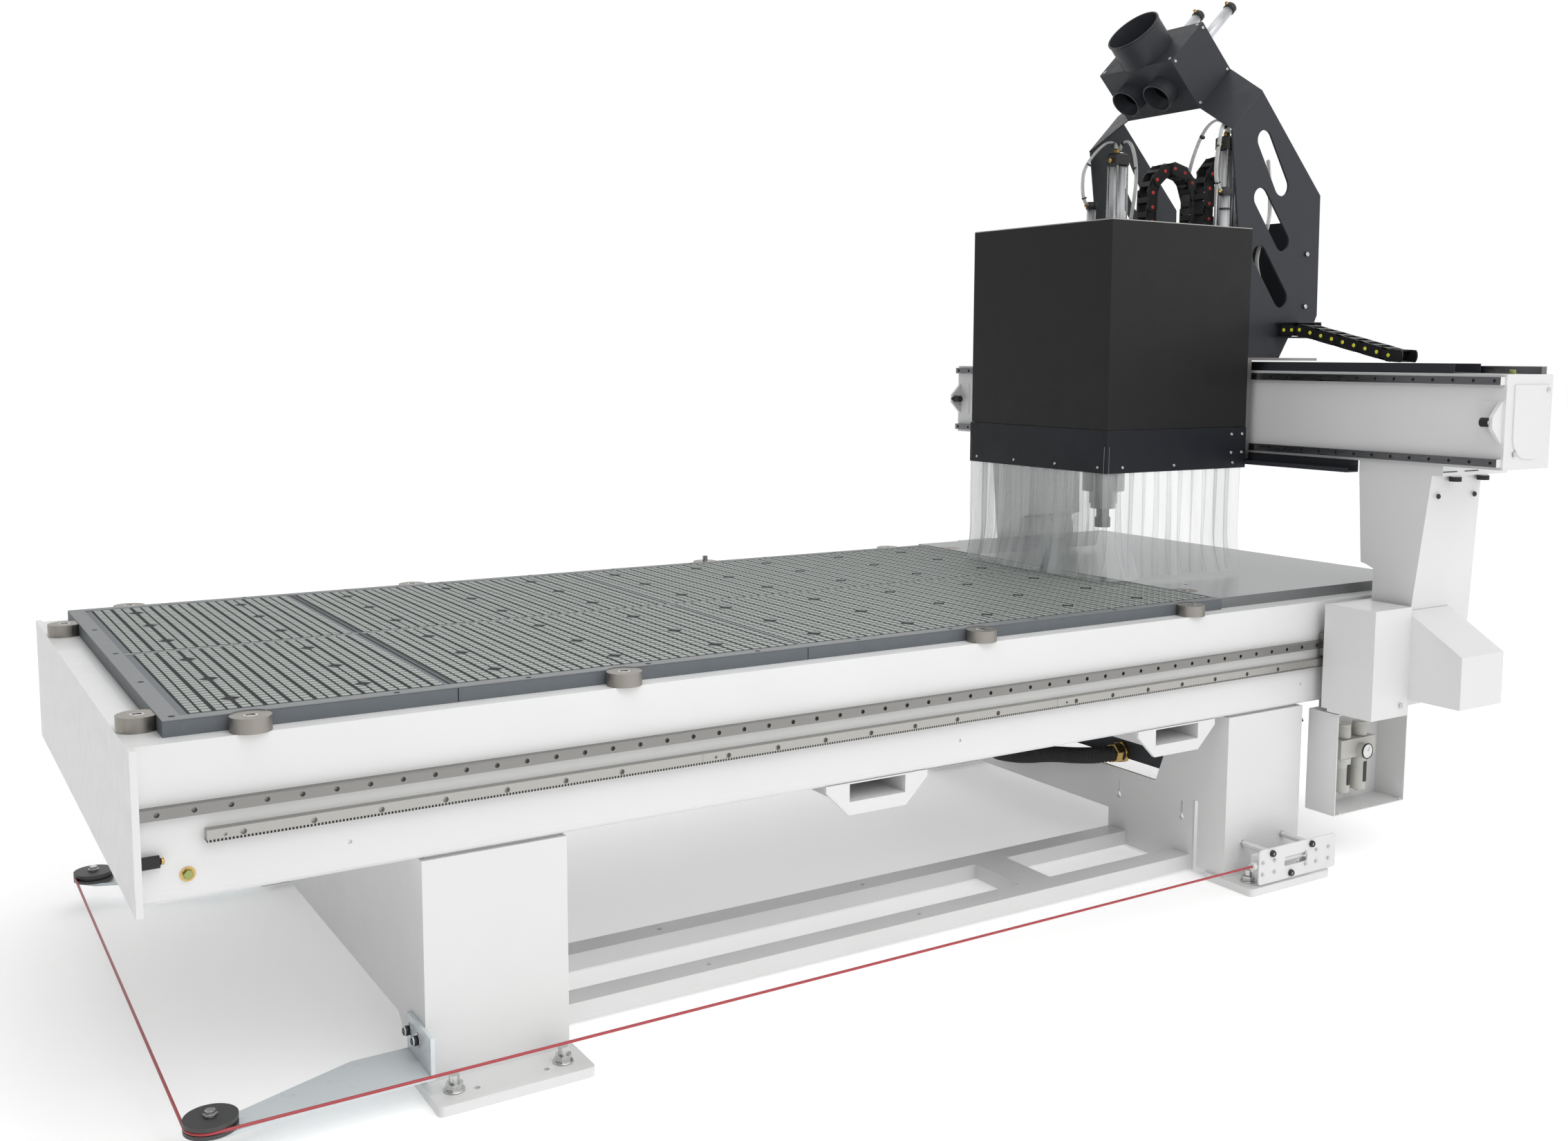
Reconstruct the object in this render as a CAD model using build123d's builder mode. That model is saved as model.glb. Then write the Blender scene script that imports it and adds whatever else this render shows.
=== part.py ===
from build123d import *
import math
import os

os.makedirs("parts", exist_ok=True)

# Travelling gantry CNC router, millimetres, +Z up, floor at z = 0, X along the bed, origin at the centre
# of the bounding box on the floor. The near long side faces -Y and the gantry parks at the +X end.

# ---------------------------------------------------------------- driving dimensions
BED_END = 1765.0            # outer face of each end panel from the middle
PANEL = 12.0                # end panel thickness
BED_HALF = 700.0            # half width of the welded bed
COVER_FACE = 707.5          # outer face of the side covers
BED_LOW, BED_TOP = 463.0, 744.0
TABLE_TOP = 772.0
TABLE_HALF = 664.0          # half width of the vacuum table
TABLE_LEFT, TABLE_SEAM, PLATE_RIGHT = -1702.0, 903.0, 1740.0

RAIL_W, RAIL_H, RAIL_PITCH = 20.0, 17.5, 60.0
X_RAIL_Z = 627.0
RACK_TOP, RACK_LOW, RACK_DEPTH = 588.0, 566.0, 20.0
RACK_PITCH, RACK_SEGMENT, RACK_START = 120.0, 963.0, -1647.0

LEG_FACE, LEG_BACK, LEG_TOP = 702.0, 602.0, 457.0
LEFT_LEG, RIGHT_LEG = (-1268.0, -976.0), (905.0, 1195.0)
FOOT_T = 20.0
FOOT_OUT, FOOT_IN = 809.0, 639.0

BEAM_X0, BEAM_X1, BEAM_Z0, BEAM_Z1 = 1397.0, 1595.0, 1127.0, 1371.0
BEAM_HALF = 1126.0
BEAM_RAIL_Z = (1145.0, 1354.0)
BLOCK_STACK = 30.0          # rail base to bearing block face
TRUCK_IN = COVER_FACE + BLOCK_STACK
TRUCK_OUT = TRUCK_IN + 20.0
TRUCK_X0, TRUCK_X1 = 1228.0, 1650.0
PINION_R, PINION_GAP = 20.0, 0.5
PINION_X = 1470.0
PINION_Z = RACK_LOW - PINION_GAP - PINION_R

CARRIAGE_MID = -22.0        # carriage centre across the machine
HOOD_HALF = 303.0
HOOD_X0, HOOD_X1 = 795.0, 1347.0
HOOD_LOW, HOOD_TOP, BAND_LOW = 1205.0, 1785.0, 1085.0
SHEET = 3.0
PLATE_FACE = BEAM_X0 - BLOCK_STACK      # back face of the carriage plate
PLATE_FRONT = PLATE_FACE - 20.0
SPINDLE_X, SPINDLE_Y = 1145.0, 60.0
DRILL_Y = -190.0
TOWER_T = 6.0

PIN_R, HOUSING_R = 8.0, 36.0
PULLEY_X, PULLEY_Y, PULLEY_Z, PULLEY_R = -1663.0, 746.0, 74.0, 46.0
WIRE_R = 3.0
WIRE_TURN = 43.5            # wire centre line round a pulley

TURN = {"x": (0, 90, 0), "y": (90, 0, 0), "z": (0, 0, 0)}


# ---------------------------------------------------------------- helpers
def block(x0, x1, y0, y1, z0, z1, mode=Mode.ADD):
    """A box between six planes."""
    with Locations(((x0 + x1) / 2, (y0 + y1) / 2, (z0 + z1) / 2)):
        Box(x1 - x0, y1 - y0, z1 - z0, mode=mode)


def rod(axis, centre, radius, length, mode=Mode.ADD):
    """A cylinder along a machine axis, given by its middle."""
    with Locations(Location(centre, TURN[axis])):
        Cylinder(radius, length, mode=mode)


def hexagon(axis, centre, across, length, mode=Mode.ADD):
    """A hexagon prism along a machine axis, given by its middle."""
    plane = Plane(Location(centre, TURN[axis])).offset(-length / 2)
    with BuildSketch(plane) as outline:
        RegularPolygon(across / math.sqrt(3), 6)
    extrude(outline.sketch, amount=length, mode=mode)


def across_y(points, y0, y1, mode=Mode.ADD):
    """A prism from (x, z) points, between two Y planes."""
    with BuildSketch(Plane.XZ.offset(-y1)) as outline:
        with BuildLine():
            Polyline(*points, close=True)
        make_face()
    extrude(outline.sketch, amount=y1 - y0, mode=mode)


def along_x(points, x0, x1, mode=Mode.ADD):
    """A prism from (y, z) points, between two X planes."""
    with BuildSketch(Plane.YZ.offset(x0)) as outline:
        with BuildLine():
            Polyline(*points, close=True)
        make_face()
    extrude(outline.sketch, amount=x1 - x0, mode=mode)


def upright(points, z0, z1, mode=Mode.ADD):
    """A prism from (x, y) points, between two heights."""
    with BuildSketch(Plane.XY.offset(z0)) as outline:
        with BuildLine():
            Polyline(*points, close=True)
        make_face()
    extrude(outline.sketch, amount=z1 - z0, mode=mode)


def both_sides():
    """Repeat what has been built on the far side."""
    mirror(about=Plane.XZ)


def save(part, name):
    part.label = name
    export_step(part, f"parts/{name}.step")


def steps(first, last, count):
    return [first + (last - first) * i / (count - 1) for i in range(count)]


# ---------------------------------------------------------------- bed
FRAME_END = BED_END - PANEL
WALL = 10.0
with BuildPart() as bed_frame:
    block(-FRAME_END, FRAME_END, -BED_HALF, BED_HALF, BED_LOW + SHEET, BED_TOP)
    for left, right in zip(steps(-FRAME_END, FRAME_END, 7)[:-1], steps(-FRAME_END, FRAME_END, 7)[1:]):
        block(left + WALL, right - WALL, -BED_HALF + WALL, BED_HALF - WALL, BED_LOW, BED_TOP - 8, Mode.SUBTRACT)
save(bed_frame.part, "bed_frame")

with BuildPart() as side_covers:
    lip = [(-BED_HALF, BED_TOP), (-COVER_FACE, BED_TOP), (-COVER_FACE, 480), (-705.5, 471), (-702.5, 466.5),
           (-697, BED_LOW), (-650, BED_LOW), (-650, BED_LOW + SHEET), (-BED_HALF, BED_LOW + SHEET)]
    along_x(lip, -FRAME_END, FRAME_END)
    for x in (-1400, 0, 1175):
        rod("y", (x, -COVER_FACE, 520), 4, 6, Mode.SUBTRACT)
    both_sides()
save(side_covers.part, "side_covers")

PANEL_HALF = 735.0
with BuildPart() as end_panels:
    for side in (-1, 1):
        inner, outer = sorted((side * FRAME_END, side * BED_END))
        block(inner, outer, -PANEL_HALF, PANEL_HALF, 455, BED_TOP)
save(end_panels.part, "end_panels")


# ---------------------------------------------------------------- supports
def leg_pair(leg):
    """Two hollow box legs, near and far, with a cap that carries the bed."""
    x0, x1 = leg
    block(x0, x1, -LEG_FACE, -LEG_BACK, FOOT_T, LEG_TOP)
    block(x0 + 6, x1 - 6, -LEG_FACE + 6, -LEG_BACK - 6, FOOT_T, LEG_TOP - 8, Mode.SUBTRACT)
    block(x0 + 10, x1 - 10, -LEG_FACE + 14, -LEG_BACK - 10, LEG_TOP, BED_LOW)
    both_sides()


WEB_LOW = 100.0
TIE_Y = (-542.0, -295.0)    # middle of the two floor rails, both on the near side
RAIL_HALF = 33.0
TIE_NEAR, TIE_FAR = TIE_Y[0] - RAIL_HALF, TIE_Y[1] + RAIL_HALF
TIE_LOW, TIE_HIGH = 8.0, 48.0
FOOT_PLATE_TOP, KEYHOLE_Z = 205.0, 148.0
HOSE_BOSS, HOSE_END_Y, HOSE_END_Z = 8.0, 240.0, 160.0
with BuildPart() as left_leg_portal:
    leg_pair(LEFT_LEG)
    web = [(-LEG_BACK, LEG_TOP), (-LEG_BACK, WEB_LOW - 30), (-560, WEB_LOW - 30), (-545, WEB_LOW - 12),
           (-530, WEB_LOW), (530, WEB_LOW), (545, WEB_LOW - 12), (560, WEB_LOW - 30),
           (LEG_BACK, WEB_LOW - 30), (LEG_BACK, LEG_TOP)]
    along_x(web, LEFT_LEG[0], LEFT_LEG[0] + 8)
    block(LEFT_LEG[0], LEFT_LEG[0] + 90, -LEG_BACK, LEG_BACK, LEG_TOP - 8, LEG_TOP)
save(left_leg_portal.part, "left_leg_portal")

with BuildPart() as right_leg_portal:
    leg_pair(RIGHT_LEG)
    stepped_web = [(-LEG_BACK, LEG_TOP), (-LEG_BACK, FOOT_PLATE_TOP), (TIE_NEAR - 8, FOOT_PLATE_TOP),
                   (TIE_NEAR - 8, TIE_LOW), (TIE_FAR + 8, TIE_LOW), (TIE_FAR + 8, WEB_LOW), *web[5:]]
    along_x(stepped_web, RIGHT_LEG[0], RIGHT_LEG[0] + 8)
    opening = [(-440, 225), (440, 225), (520, 445), (-520, 445)]
    along_x(opening, RIGHT_LEG[0] - 1, RIGHT_LEG[0] + 9, Mode.SUBTRACT)
    block(RIGHT_LEG[0], RIGHT_LEG[0] + 90, -LEG_BACK, LEG_BACK, LEG_TOP - 8, LEG_TOP)
    for y in TIE_Y:
        rod("x", (RIGHT_LEG[0] + 4, y, KEYHOLE_Z), 9, 10, Mode.SUBTRACT)
        block(RIGHT_LEG[0] - 1, RIGHT_LEG[0] + 9, y - 4, y + 4, KEYHOLE_Z, KEYHOLE_Z + 44, Mode.SUBTRACT)
    rod("x", (RIGHT_LEG[0] - HOSE_BOSS / 2, HOSE_END_Y, HOSE_END_Z), 28, HOSE_BOSS)
save(right_leg_portal.part, "right_leg_portal")

STUD_INSET, STUD_Y = 52.0, 755.0
FOOT_BOLTS = [(x, STUD_Y) for leg in (LEFT_LEG, RIGHT_LEG) for x in (leg[0] + 36, leg[1] - 36)]
with BuildPart() as foot_plates:
    for x0, x1 in (LEFT_LEG, RIGHT_LEG):
        with BuildSketch(Plane.XY):
            with Locations(((x0 + x1) / 2, -(FOOT_OUT + FOOT_IN) / 2)):
                RectangleRounded(x1 - x0 + 22, FOOT_OUT - FOOT_IN, 12)
        extrude(amount=FOOT_T)
        for x in (x0 + 76, x1 - 76):
            rod("z", (x, -768, FOOT_T / 2), 6, FOOT_T + 2, Mode.SUBTRACT)
    for x, y in FOOT_BOLTS:
        rod("z", (x, -y, FOOT_T / 2), 11, FOOT_T + 2, Mode.SUBTRACT)
    both_sides()
save(foot_plates.part, "foot_plates")

with BuildPart() as levelling_bolts:
    for x, y in FOOT_BOLTS:
        hexagon("z", (x, -y, FOOT_T + 8), 30, 16)
        rod("z", (x, -y, 26), 10, 52)
    both_sides()
save(levelling_bolts.part, "levelling_bolts")

TIE_X0, TIE_X1 = LEFT_LEG[1] - 8, RIGHT_LEG[0]
CROSS_X, CROSS_HALF = 408.0, 52.0
with BuildPart() as tie_frame:
    for y in TIE_Y:
        block(TIE_X0, TIE_X1, y - RAIL_HALF, y + RAIL_HALF, TIE_LOW, TIE_HIGH)
        for x in (-574, 9):
            rod("z", (x, y, TIE_HIGH), 6, 16, Mode.SUBTRACT)
    block(CROSS_X - CROSS_HALF, CROSS_X + CROSS_HALF, TIE_Y[0] + RAIL_HALF, TIE_Y[1] - RAIL_HALF, TIE_LOW, TIE_HIGH)
    block(TIE_X0, LEFT_LEG[1], -LEG_BACK, TIE_FAR + 8, TIE_LOW, FOOT_PLATE_TOP)
save(tie_frame.part, "tie_frame")

FORK_X = (-227.0, 713.0)
with BuildPart() as fork_pockets:
    for x in FORK_X:
        outline = [(x - 138, BED_LOW), (x - 138, 448), (x - 78, 389), (x + 78, 389), (x + 138, 448), (x + 138, BED_LOW)]
        across_y(outline, -702, -692)
        across_y(outline, 692, 702)
        block(x - 82, x + 82, -692, 692, 412, BED_LOW)
        block(x - 76, x + 76, -703, 703, 419, BED_LOW - 3, Mode.SUBTRACT)
save(fork_pockets.part, "fork_pockets")

# ---------------------------------------------------------------- work surface
SEAM_X = (-1177.0, -390.0)
PIN_X = (-1560.0, -841.0, 75.0, 765.0)
PIN_Y = TABLE_HALF + 22.0
LEFT_PINS = ((-1728.0, -577.0), (-1728.0, 480.0))
RIGHT_PINS = ((925.0, -505.0), (925.0, 560.0))
ALL_PINS = [(x, side * PIN_Y) for x in PIN_X for side in (-1, 1)] + list(LEFT_PINS) + list(RIGHT_PINS)


def housing_notches():
    for x, y in ALL_PINS:
        rod("z", (x, y, TABLE_TOP), HOUSING_R + 0.5, 80, Mode.SUBTRACT)


with BuildPart() as vacuum_table:
    edges = (TABLE_LEFT, *SEAM_X, TABLE_SEAM)
    for x0, x1 in zip(edges[:-1], edges[1:]):
        for y0, y1 in ((-TABLE_HALF, 0), (0, TABLE_HALF)):
            block(x0 + 1, x1 - 1, y0 + (y0 == 0), y1 - (y1 == 0), BED_TOP, TABLE_TOP)
    housing_notches()
save(vacuum_table.part, "vacuum_table")

with BuildPart() as loading_plate:
    block(TABLE_SEAM, PLATE_RIGHT, -TABLE_HALF + 14, 700, BED_TOP, TABLE_TOP)
    housing_notches()
    rod("z", (1010, -430, TABLE_TOP), 5, 30, Mode.SUBTRACT)
save(loading_plate.part, "loading_plate")

with BuildPart() as pin_housings:
    for x, y in ALL_PINS:
        rod("z", (x, y, (BED_TOP + TABLE_TOP) / 2), HOUSING_R, TABLE_TOP - BED_TOP)
        rod("z", (x, y, TABLE_TOP), PIN_R + 0.3, 52, Mode.SUBTRACT)
save(pin_housings.part, "pin_housings")

PIN_BOTTOM, PIN_STROKE = BED_TOP + 3.0, 18.0


def stop_pins(places, name, lift=0.0):
    """Locating pins that stand in their housings, as one group."""
    with BuildPart() as pins:
        for x, y in places:
            rod("z", (x, y, (PIN_BOTTOM + TABLE_TOP - 1) / 2 + lift), PIN_R, TABLE_TOP - 1 - PIN_BOTTOM)
    save(pins.part, name)


RAISED = (PIN_X[2], PIN_Y)
stop_pins([(x, -PIN_Y) for x in PIN_X], "near_pins")
stop_pins([(x, PIN_Y) for x in PIN_X if x != PIN_X[2]], "far_pins")
stop_pins([*LEFT_PINS, *RIGHT_PINS], "end_pins")
stop_pins([RAISED], "raised_pin", PIN_STROKE)

# ---------------------------------------------------------------- rails, racks, stops
FIRST_HOLE, HOLE_COUNT = -1725.0, 58
RAIL_OUT = COVER_FACE + RAIL_H
with BuildPart() as x_rails:
    block(-FRAME_END, 1730, -RAIL_OUT, -COVER_FACE, X_RAIL_Z - RAIL_W / 2, X_RAIL_Z + RAIL_W / 2)
    for i in range(HOLE_COUNT):
        rod("y", (FIRST_HOLE + i * RAIL_PITCH, -RAIL_OUT, X_RAIL_Z), 4.75, 17, Mode.SUBTRACT)
    both_sides()
save(x_rails.part, "x_rails")

RACK_OUT = COVER_FACE + RACK_DEPTH
with BuildPart() as x_racks:
    start = RACK_START
    while start < 1700:
        end = min(start + RACK_SEGMENT - 0.5, 1722.0)
        block(start, end, -RACK_OUT, -COVER_FACE, RACK_LOW, RACK_TOP)
        rod("y", (start + 30, -RACK_OUT, 577), 3, 8, Mode.SUBTRACT)
        holes = int((end - start - 40) // RACK_PITCH)
        for k in range(holes):
            rod("y", (start + 60 + k * RACK_PITCH, -RACK_OUT, 577), 5.5, 16, Mode.SUBTRACT)
        start += RACK_SEGMENT
    both_sides()
save(x_racks.part, "x_racks")

with BuildPart() as travel_bumpers:
    for side in (-1, 1):
        rod("x", (side * (FRAME_END - 15), -721, 545), 11, 30)
        rod("x", (side * (FRAME_END - 33), -721, 545), 5, 6)
        hexagon("y", (side * 1677, -COVER_FACE - 3, 511), 14, 6)
    both_sides()
save(travel_bumpers.part, "travel_bumpers")

# ---------------------------------------------------------------- vacuum and air services
HOSE_X, HOSE_START_Y, HOSE_START_Z = RIGHT_LEG[0] - 41.0, -275.0, 266.0
HOSE_PATH = [(RIGHT_LEG[0] + 10, HOSE_START_Y, HOSE_START_Z), (HOSE_X, HOSE_START_Y, HOSE_START_Z),
             (HOSE_X, -163, 238), (HOSE_X, -38, 216), (HOSE_X, 92, 178), (HOSE_X, HOSE_END_Y, HOSE_END_Z),
             (RIGHT_LEG[0] - HOSE_BOSS, HOSE_END_Y, HOSE_END_Z)]
HOSE_RADII = [45, 100, 150, 150, 30]
with BuildPart() as vacuum_manifold:
    block(RIGHT_LEG[0] + 30, RIGHT_LEG[0] + 250, -430, 430, 250, LEG_TOP - 12)
    block(RIGHT_LEG[0] + 36, RIGHT_LEG[0] + 244, -424, 424, 256, LEG_TOP - 18, Mode.SUBTRACT)
    for y in (-300, 300):
        rod("z", (RIGHT_LEG[0] + 140, y, (LEG_TOP - 12 + BED_TOP - 8) / 2), 30, BED_TOP - 8 - LEG_TOP + 12)
    rod("x", (RIGHT_LEG[0] + 20, HOSE_START_Y, HOSE_START_Z), 28, 20)
save(vacuum_manifold.part, "vacuum_manifold")


def tube(points, radii, radius, name):
    """A round tube along straight runs joined by tangent arcs."""
    with BuildPart() as hose:
        with BuildLine() as path:
            FilletPolyline(*points, radius=radii)
        with BuildSketch(Plane(origin=path.line @ 0, z_dir=path.line % 0)):
            Circle(radius)
        sweep()
    length = path.wires()[0].length
    ratio = hose.part.volume / (math.pi * radius ** 2 * length)
    print(f"{name}: length {length:.0f}, volume over section times length {ratio:.4f}")
    save(hose.part, name)
    return hose


tube(HOSE_PATH, HOSE_RADII, 24, "vacuum_hose")

AIR_X0, AIR_X1, AIR_Y0, AIR_Y1, AIR_Z0, AIR_Z1 = 1243.0, 1543.0, -785.0, -685.0, 155.0, 440.0
with BuildPart() as air_service_box:
    block(AIR_X0, AIR_X1, AIR_Y0, AIR_Y1, AIR_Z0, AIR_Z1)
    block(AIR_X0 + SHEET, AIR_X1 - SHEET, AIR_Y0, AIR_Y1 - SHEET, AIR_Z0 + SHEET, AIR_Z1 - SHEET, Mode.SUBTRACT)
    block(AIR_X0 + 40, AIR_X1 - 40, AIR_Y1 - SHEET, AIR_Y1, AIR_Z1, BED_LOW)
    block(AIR_X0 + 40, AIR_X1 - 40, AIR_Y1, AIR_Y1 + 35, BED_LOW - SHEET, BED_LOW)
    block(1375, 1405, AIR_Y1 - 10, AIR_Y1 + 10, 188, 198, Mode.SUBTRACT)
save(air_service_box.part, "air_service_box")

BOWL_X, BOWL_Y = (1338.0, 1408.0), -728.0
with BuildPart() as air_regulator:
    block(1300, 1446, BOWL_Y - 26, BOWL_Y + 26, 300, 352)
    for x in BOWL_X:
        rod("z", (x, BOWL_Y, 250), 24, 100)
        rod("z", (x, BOWL_Y, 197), 6, 10)
        rod("z", (x, BOWL_Y, 372), 20, 40)
    block(1350, 1396, BOWL_Y + 26, AIR_Y1 - SHEET, 306, 346)
    rod("y", (1385, BOWL_Y - 37, 318), 21, 22)
    rod("x", (1456, BOWL_Y, 326), 8, 20)
save(air_regulator.part, "air_regulator")

with BuildPart() as coiled_air_tube:
    rod("y", (1219, -640, 400), 22, 60)
    rod("y", (1219, -640, 400), 13, 62, Mode.SUBTRACT)
    rod("z", (1219, -640, 442), 4, 42)
save(coiled_air_tube.part, "coiled_air_tube")

# ---------------------------------------------------------------- emergency trip wire
PLATE_Y = -804.0
WIRE_ANCHOR_X = 915.0       # bracket on the far leg that ends the wire
with BuildPart() as rope_switch:
    with BuildSketch(Plane.XZ.offset(-PLATE_Y - 4)):
        with Locations((1078, 71)):
            RectangleRounded(303, 94, 8)
        with Locations((1070, 72)):
            RectangleRounded(90, 26, 3, mode=Mode.SUBTRACT)
    extrude(amount=4)
    for x in (975, 1130):
        rod("y", (x, -751, 104), 8, 98)
        rod("y", (x, PLATE_Y - 3, 104), 8, 6)
    rod("y", (1050, PLATE_Y - 3, 38), 8, 6)
    for x in (940, 985, 1108, 1150, 1200):
        for z in (52, 84):
            rod("y", (x, PLATE_Y - 1.5, z), 4, 3)
    block(935, 1000, -800, -768, 50, 98)
    rod("x", (925, -789.5, PULLEY_Z), 10, 20)
    rod("x", (1080, -784, 74), 5, 160)
    rod("x", (1070, -784, 74), 11, 70)
    block(WIRE_ANCHOR_X, WIRE_ANCHOR_X + 20, LEG_FACE, 800, PULLEY_Z - 12, PULLEY_Z + 12)
save(rope_switch.part, "rope_switch")

ARM_LOW, ARM_TOP = 50.0, 58.0
with BuildPart() as pulley_arms:
    arm = [(LEFT_LEG[0], -756), (-1386, -756), (PULLEY_X, -PULLEY_Y - 24), (PULLEY_X - 22, -PULLEY_Y),
           (PULLEY_X, -PULLEY_Y + 24), (-1386, -612), (LEFT_LEG[0], -612)]
    upright(arm, ARM_LOW, ARM_TOP)
    block(LEFT_LEG[0] - 8, LEFT_LEG[0], -756, -612, ARM_TOP, 132)
    for y in (-680, -628):
        rod("x", (LEFT_LEG[0] - 14, y, 100), 9, 12)
    rod("z", (PULLEY_X, -PULLEY_Y, (ARM_TOP + PULLEY_Z + 14) / 2), 7.95, PULLEY_Z + 14 - ARM_TOP)
    both_sides()
save(pulley_arms.part, "pulley_arms")


def pulley(side, name):
    """A grooved wire pulley on its arm's pin."""
    with BuildPart() as wheel:
        rod("z", (PULLEY_X, side * PULLEY_Y, PULLEY_Z), PULLEY_R, 22)
        rod("z", (PULLEY_X, side * PULLEY_Y, PULLEY_Z), 8, 30, Mode.SUBTRACT)
        with Locations((PULLEY_X, side * PULLEY_Y, PULLEY_Z)):
            Torus(WIRE_TURN, WIRE_R + 0.6, mode=Mode.SUBTRACT)
        rod("z", (PULLEY_X, side * PULLEY_Y, PULLEY_Z), PULLEY_R + 1, 2 * WIRE_R + 1.2, Mode.SUBTRACT)
        rod("z", (PULLEY_X, side * PULLEY_Y, PULLEY_Z), WIRE_TURN - WIRE_R - 0.6, 2 * WIRE_R + 1.2)
        rod("z", (PULLEY_X, side * PULLEY_Y, PULLEY_Z), 8, 30, Mode.SUBTRACT)
    save(wheel.part, name)


pulley(-1, "near_pulley")
pulley(1, "far_pulley")

WIRE_OUT = PULLEY_Y + WIRE_TURN
WIRE_LEFT = PULLEY_X - WIRE_TURN
WIRE_PATH = [(915, -WIRE_OUT, PULLEY_Z), (WIRE_LEFT, -WIRE_OUT, PULLEY_Z), (WIRE_LEFT, WIRE_OUT, PULLEY_Z),
             (915, WIRE_OUT, PULLEY_Z)]
tube(WIRE_PATH, [WIRE_TURN, WIRE_TURN], WIRE_R, "trip_wire")

# ---------------------------------------------------------------- gantry
with BuildPart() as gantry_beam:
    block(BEAM_X0, BEAM_X1, -BEAM_HALF, BEAM_HALF, BEAM_Z0, BEAM_Z1)
    block(BEAM_X0 + WALL, BEAM_X1 - WALL, -BEAM_HALF, BEAM_HALF, BEAM_Z0 + WALL, BEAM_Z1 - WALL, Mode.SUBTRACT)
save(gantry_beam.part, "gantry_beam")

BEAM_MID_Z = (BEAM_Z0 + BEAM_Z1) / 2
with BuildPart() as beam_end_caps:
    block(BEAM_X0, BEAM_X1, -BEAM_HALF - 8, -BEAM_HALF, BEAM_Z0, BEAM_Z1)
    with BuildSketch(Plane.XZ.offset(BEAM_HALF + 8)) as access:
        with Locations(((BEAM_X0 + BEAM_X1) / 2 + 8, BEAM_MID_Z)):
            Rectangle(150, 190)
        corners = access.vertices().group_by(Axis.X)
        fillet([corners[0].sort_by(Axis.Z)[-1], corners[-1].sort_by(Axis.Z)[0]], radius=60)
    extrude(amount=4)
    for x, z in ((BEAM_X0 + 173, BEAM_Z1 - 40), (BEAM_X0 + 42, BEAM_Z0 + 40)):
        rod("y", (x, -BEAM_HALF - 13, z), 6, 2)
    bumper_plate = [(BEAM_X0 - 2, BEAM_MID_Z + 55), (BEAM_X0 - 42, BEAM_MID_Z + 14),
                    (BEAM_X0 - 42, BEAM_MID_Z - 14), (BEAM_X0 - 2, BEAM_MID_Z - 55)]
    across_y(bumper_plate, -BEAM_HALF, -BEAM_HALF + 10)
    block(BEAM_X0 - 2, BEAM_X0, -BEAM_HALF, -BEAM_HALF + 60, BEAM_MID_Z - 55, BEAM_MID_Z + 55)
    both_sides()
save(beam_end_caps.part, "beam_end_caps")

with BuildPart() as beam_rails:
    for z in BEAM_RAIL_Z:
        block(BEAM_X0 - RAIL_H, BEAM_X0, -BEAM_HALF, BEAM_HALF, z - RAIL_W / 2, z + RAIL_W / 2)
        for k in range(38):
            rod("x", (BEAM_X0 - RAIL_H, (k - 18.5) * RAIL_PITCH, z), 4.75, 17, Mode.SUBTRACT)
save(beam_rails.part, "beam_rails")

Y_RACK_X = (BEAM_X1 - 30.0, BEAM_X1 - 8.0)
with BuildPart() as beam_rack:
    for k in (-1, 1):
        y0, y1 = sorted((k * 0.25, k * (BEAM_HALF - 6)))
        block(*Y_RACK_X, y0, y1, BEAM_Z1, BEAM_Z1 + 20)
save(beam_rack.part, "beam_rack")

TRAY_X0, TRAY_X1, TRAY_HALF = 1440.0, 1556.0, 950.0
with BuildPart() as cable_tray:
    block(TRAY_X0, TRAY_X1, -TRAY_HALF, TRAY_HALF, BEAM_Z1, BEAM_Z1 + 26)
    block(TRAY_X0 + SHEET, TRAY_X1 - SHEET, -TRAY_HALF - 1, TRAY_HALF + 1, BEAM_Z1 + SHEET, BEAM_Z1 + 30,
          Mode.SUBTRACT)
    guard = [(BEAM_X0 - 44, 1106), (BEAM_X0 - 44, 1094), (BEAM_X0 + 4, 1094), (BEAM_X0 + 4, BEAM_Z0),
             (BEAM_X0, BEAM_Z0), (BEAM_X0, 1098), (BEAM_X0 - 40, 1098), (BEAM_X0 - 40, 1106)]
    across_y(guard, -690, 690)
save(cable_tray.part, "cable_tray")

with BuildPart() as tray_chain:
    for y in range(-880, 0, 45):
        block(TRAY_X0 + 22, TRAY_X1 - 22, y, y + 44.7, BEAM_Z1 + SHEET, BEAM_Z1 + 23)
        block(TRAY_X0 + 28, TRAY_X1 - 28, y - 1, y + 46, BEAM_Z1 + 7, BEAM_Z1 + 19, Mode.SUBTRACT)
save(tray_chain.part, "tray_chain")

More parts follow.
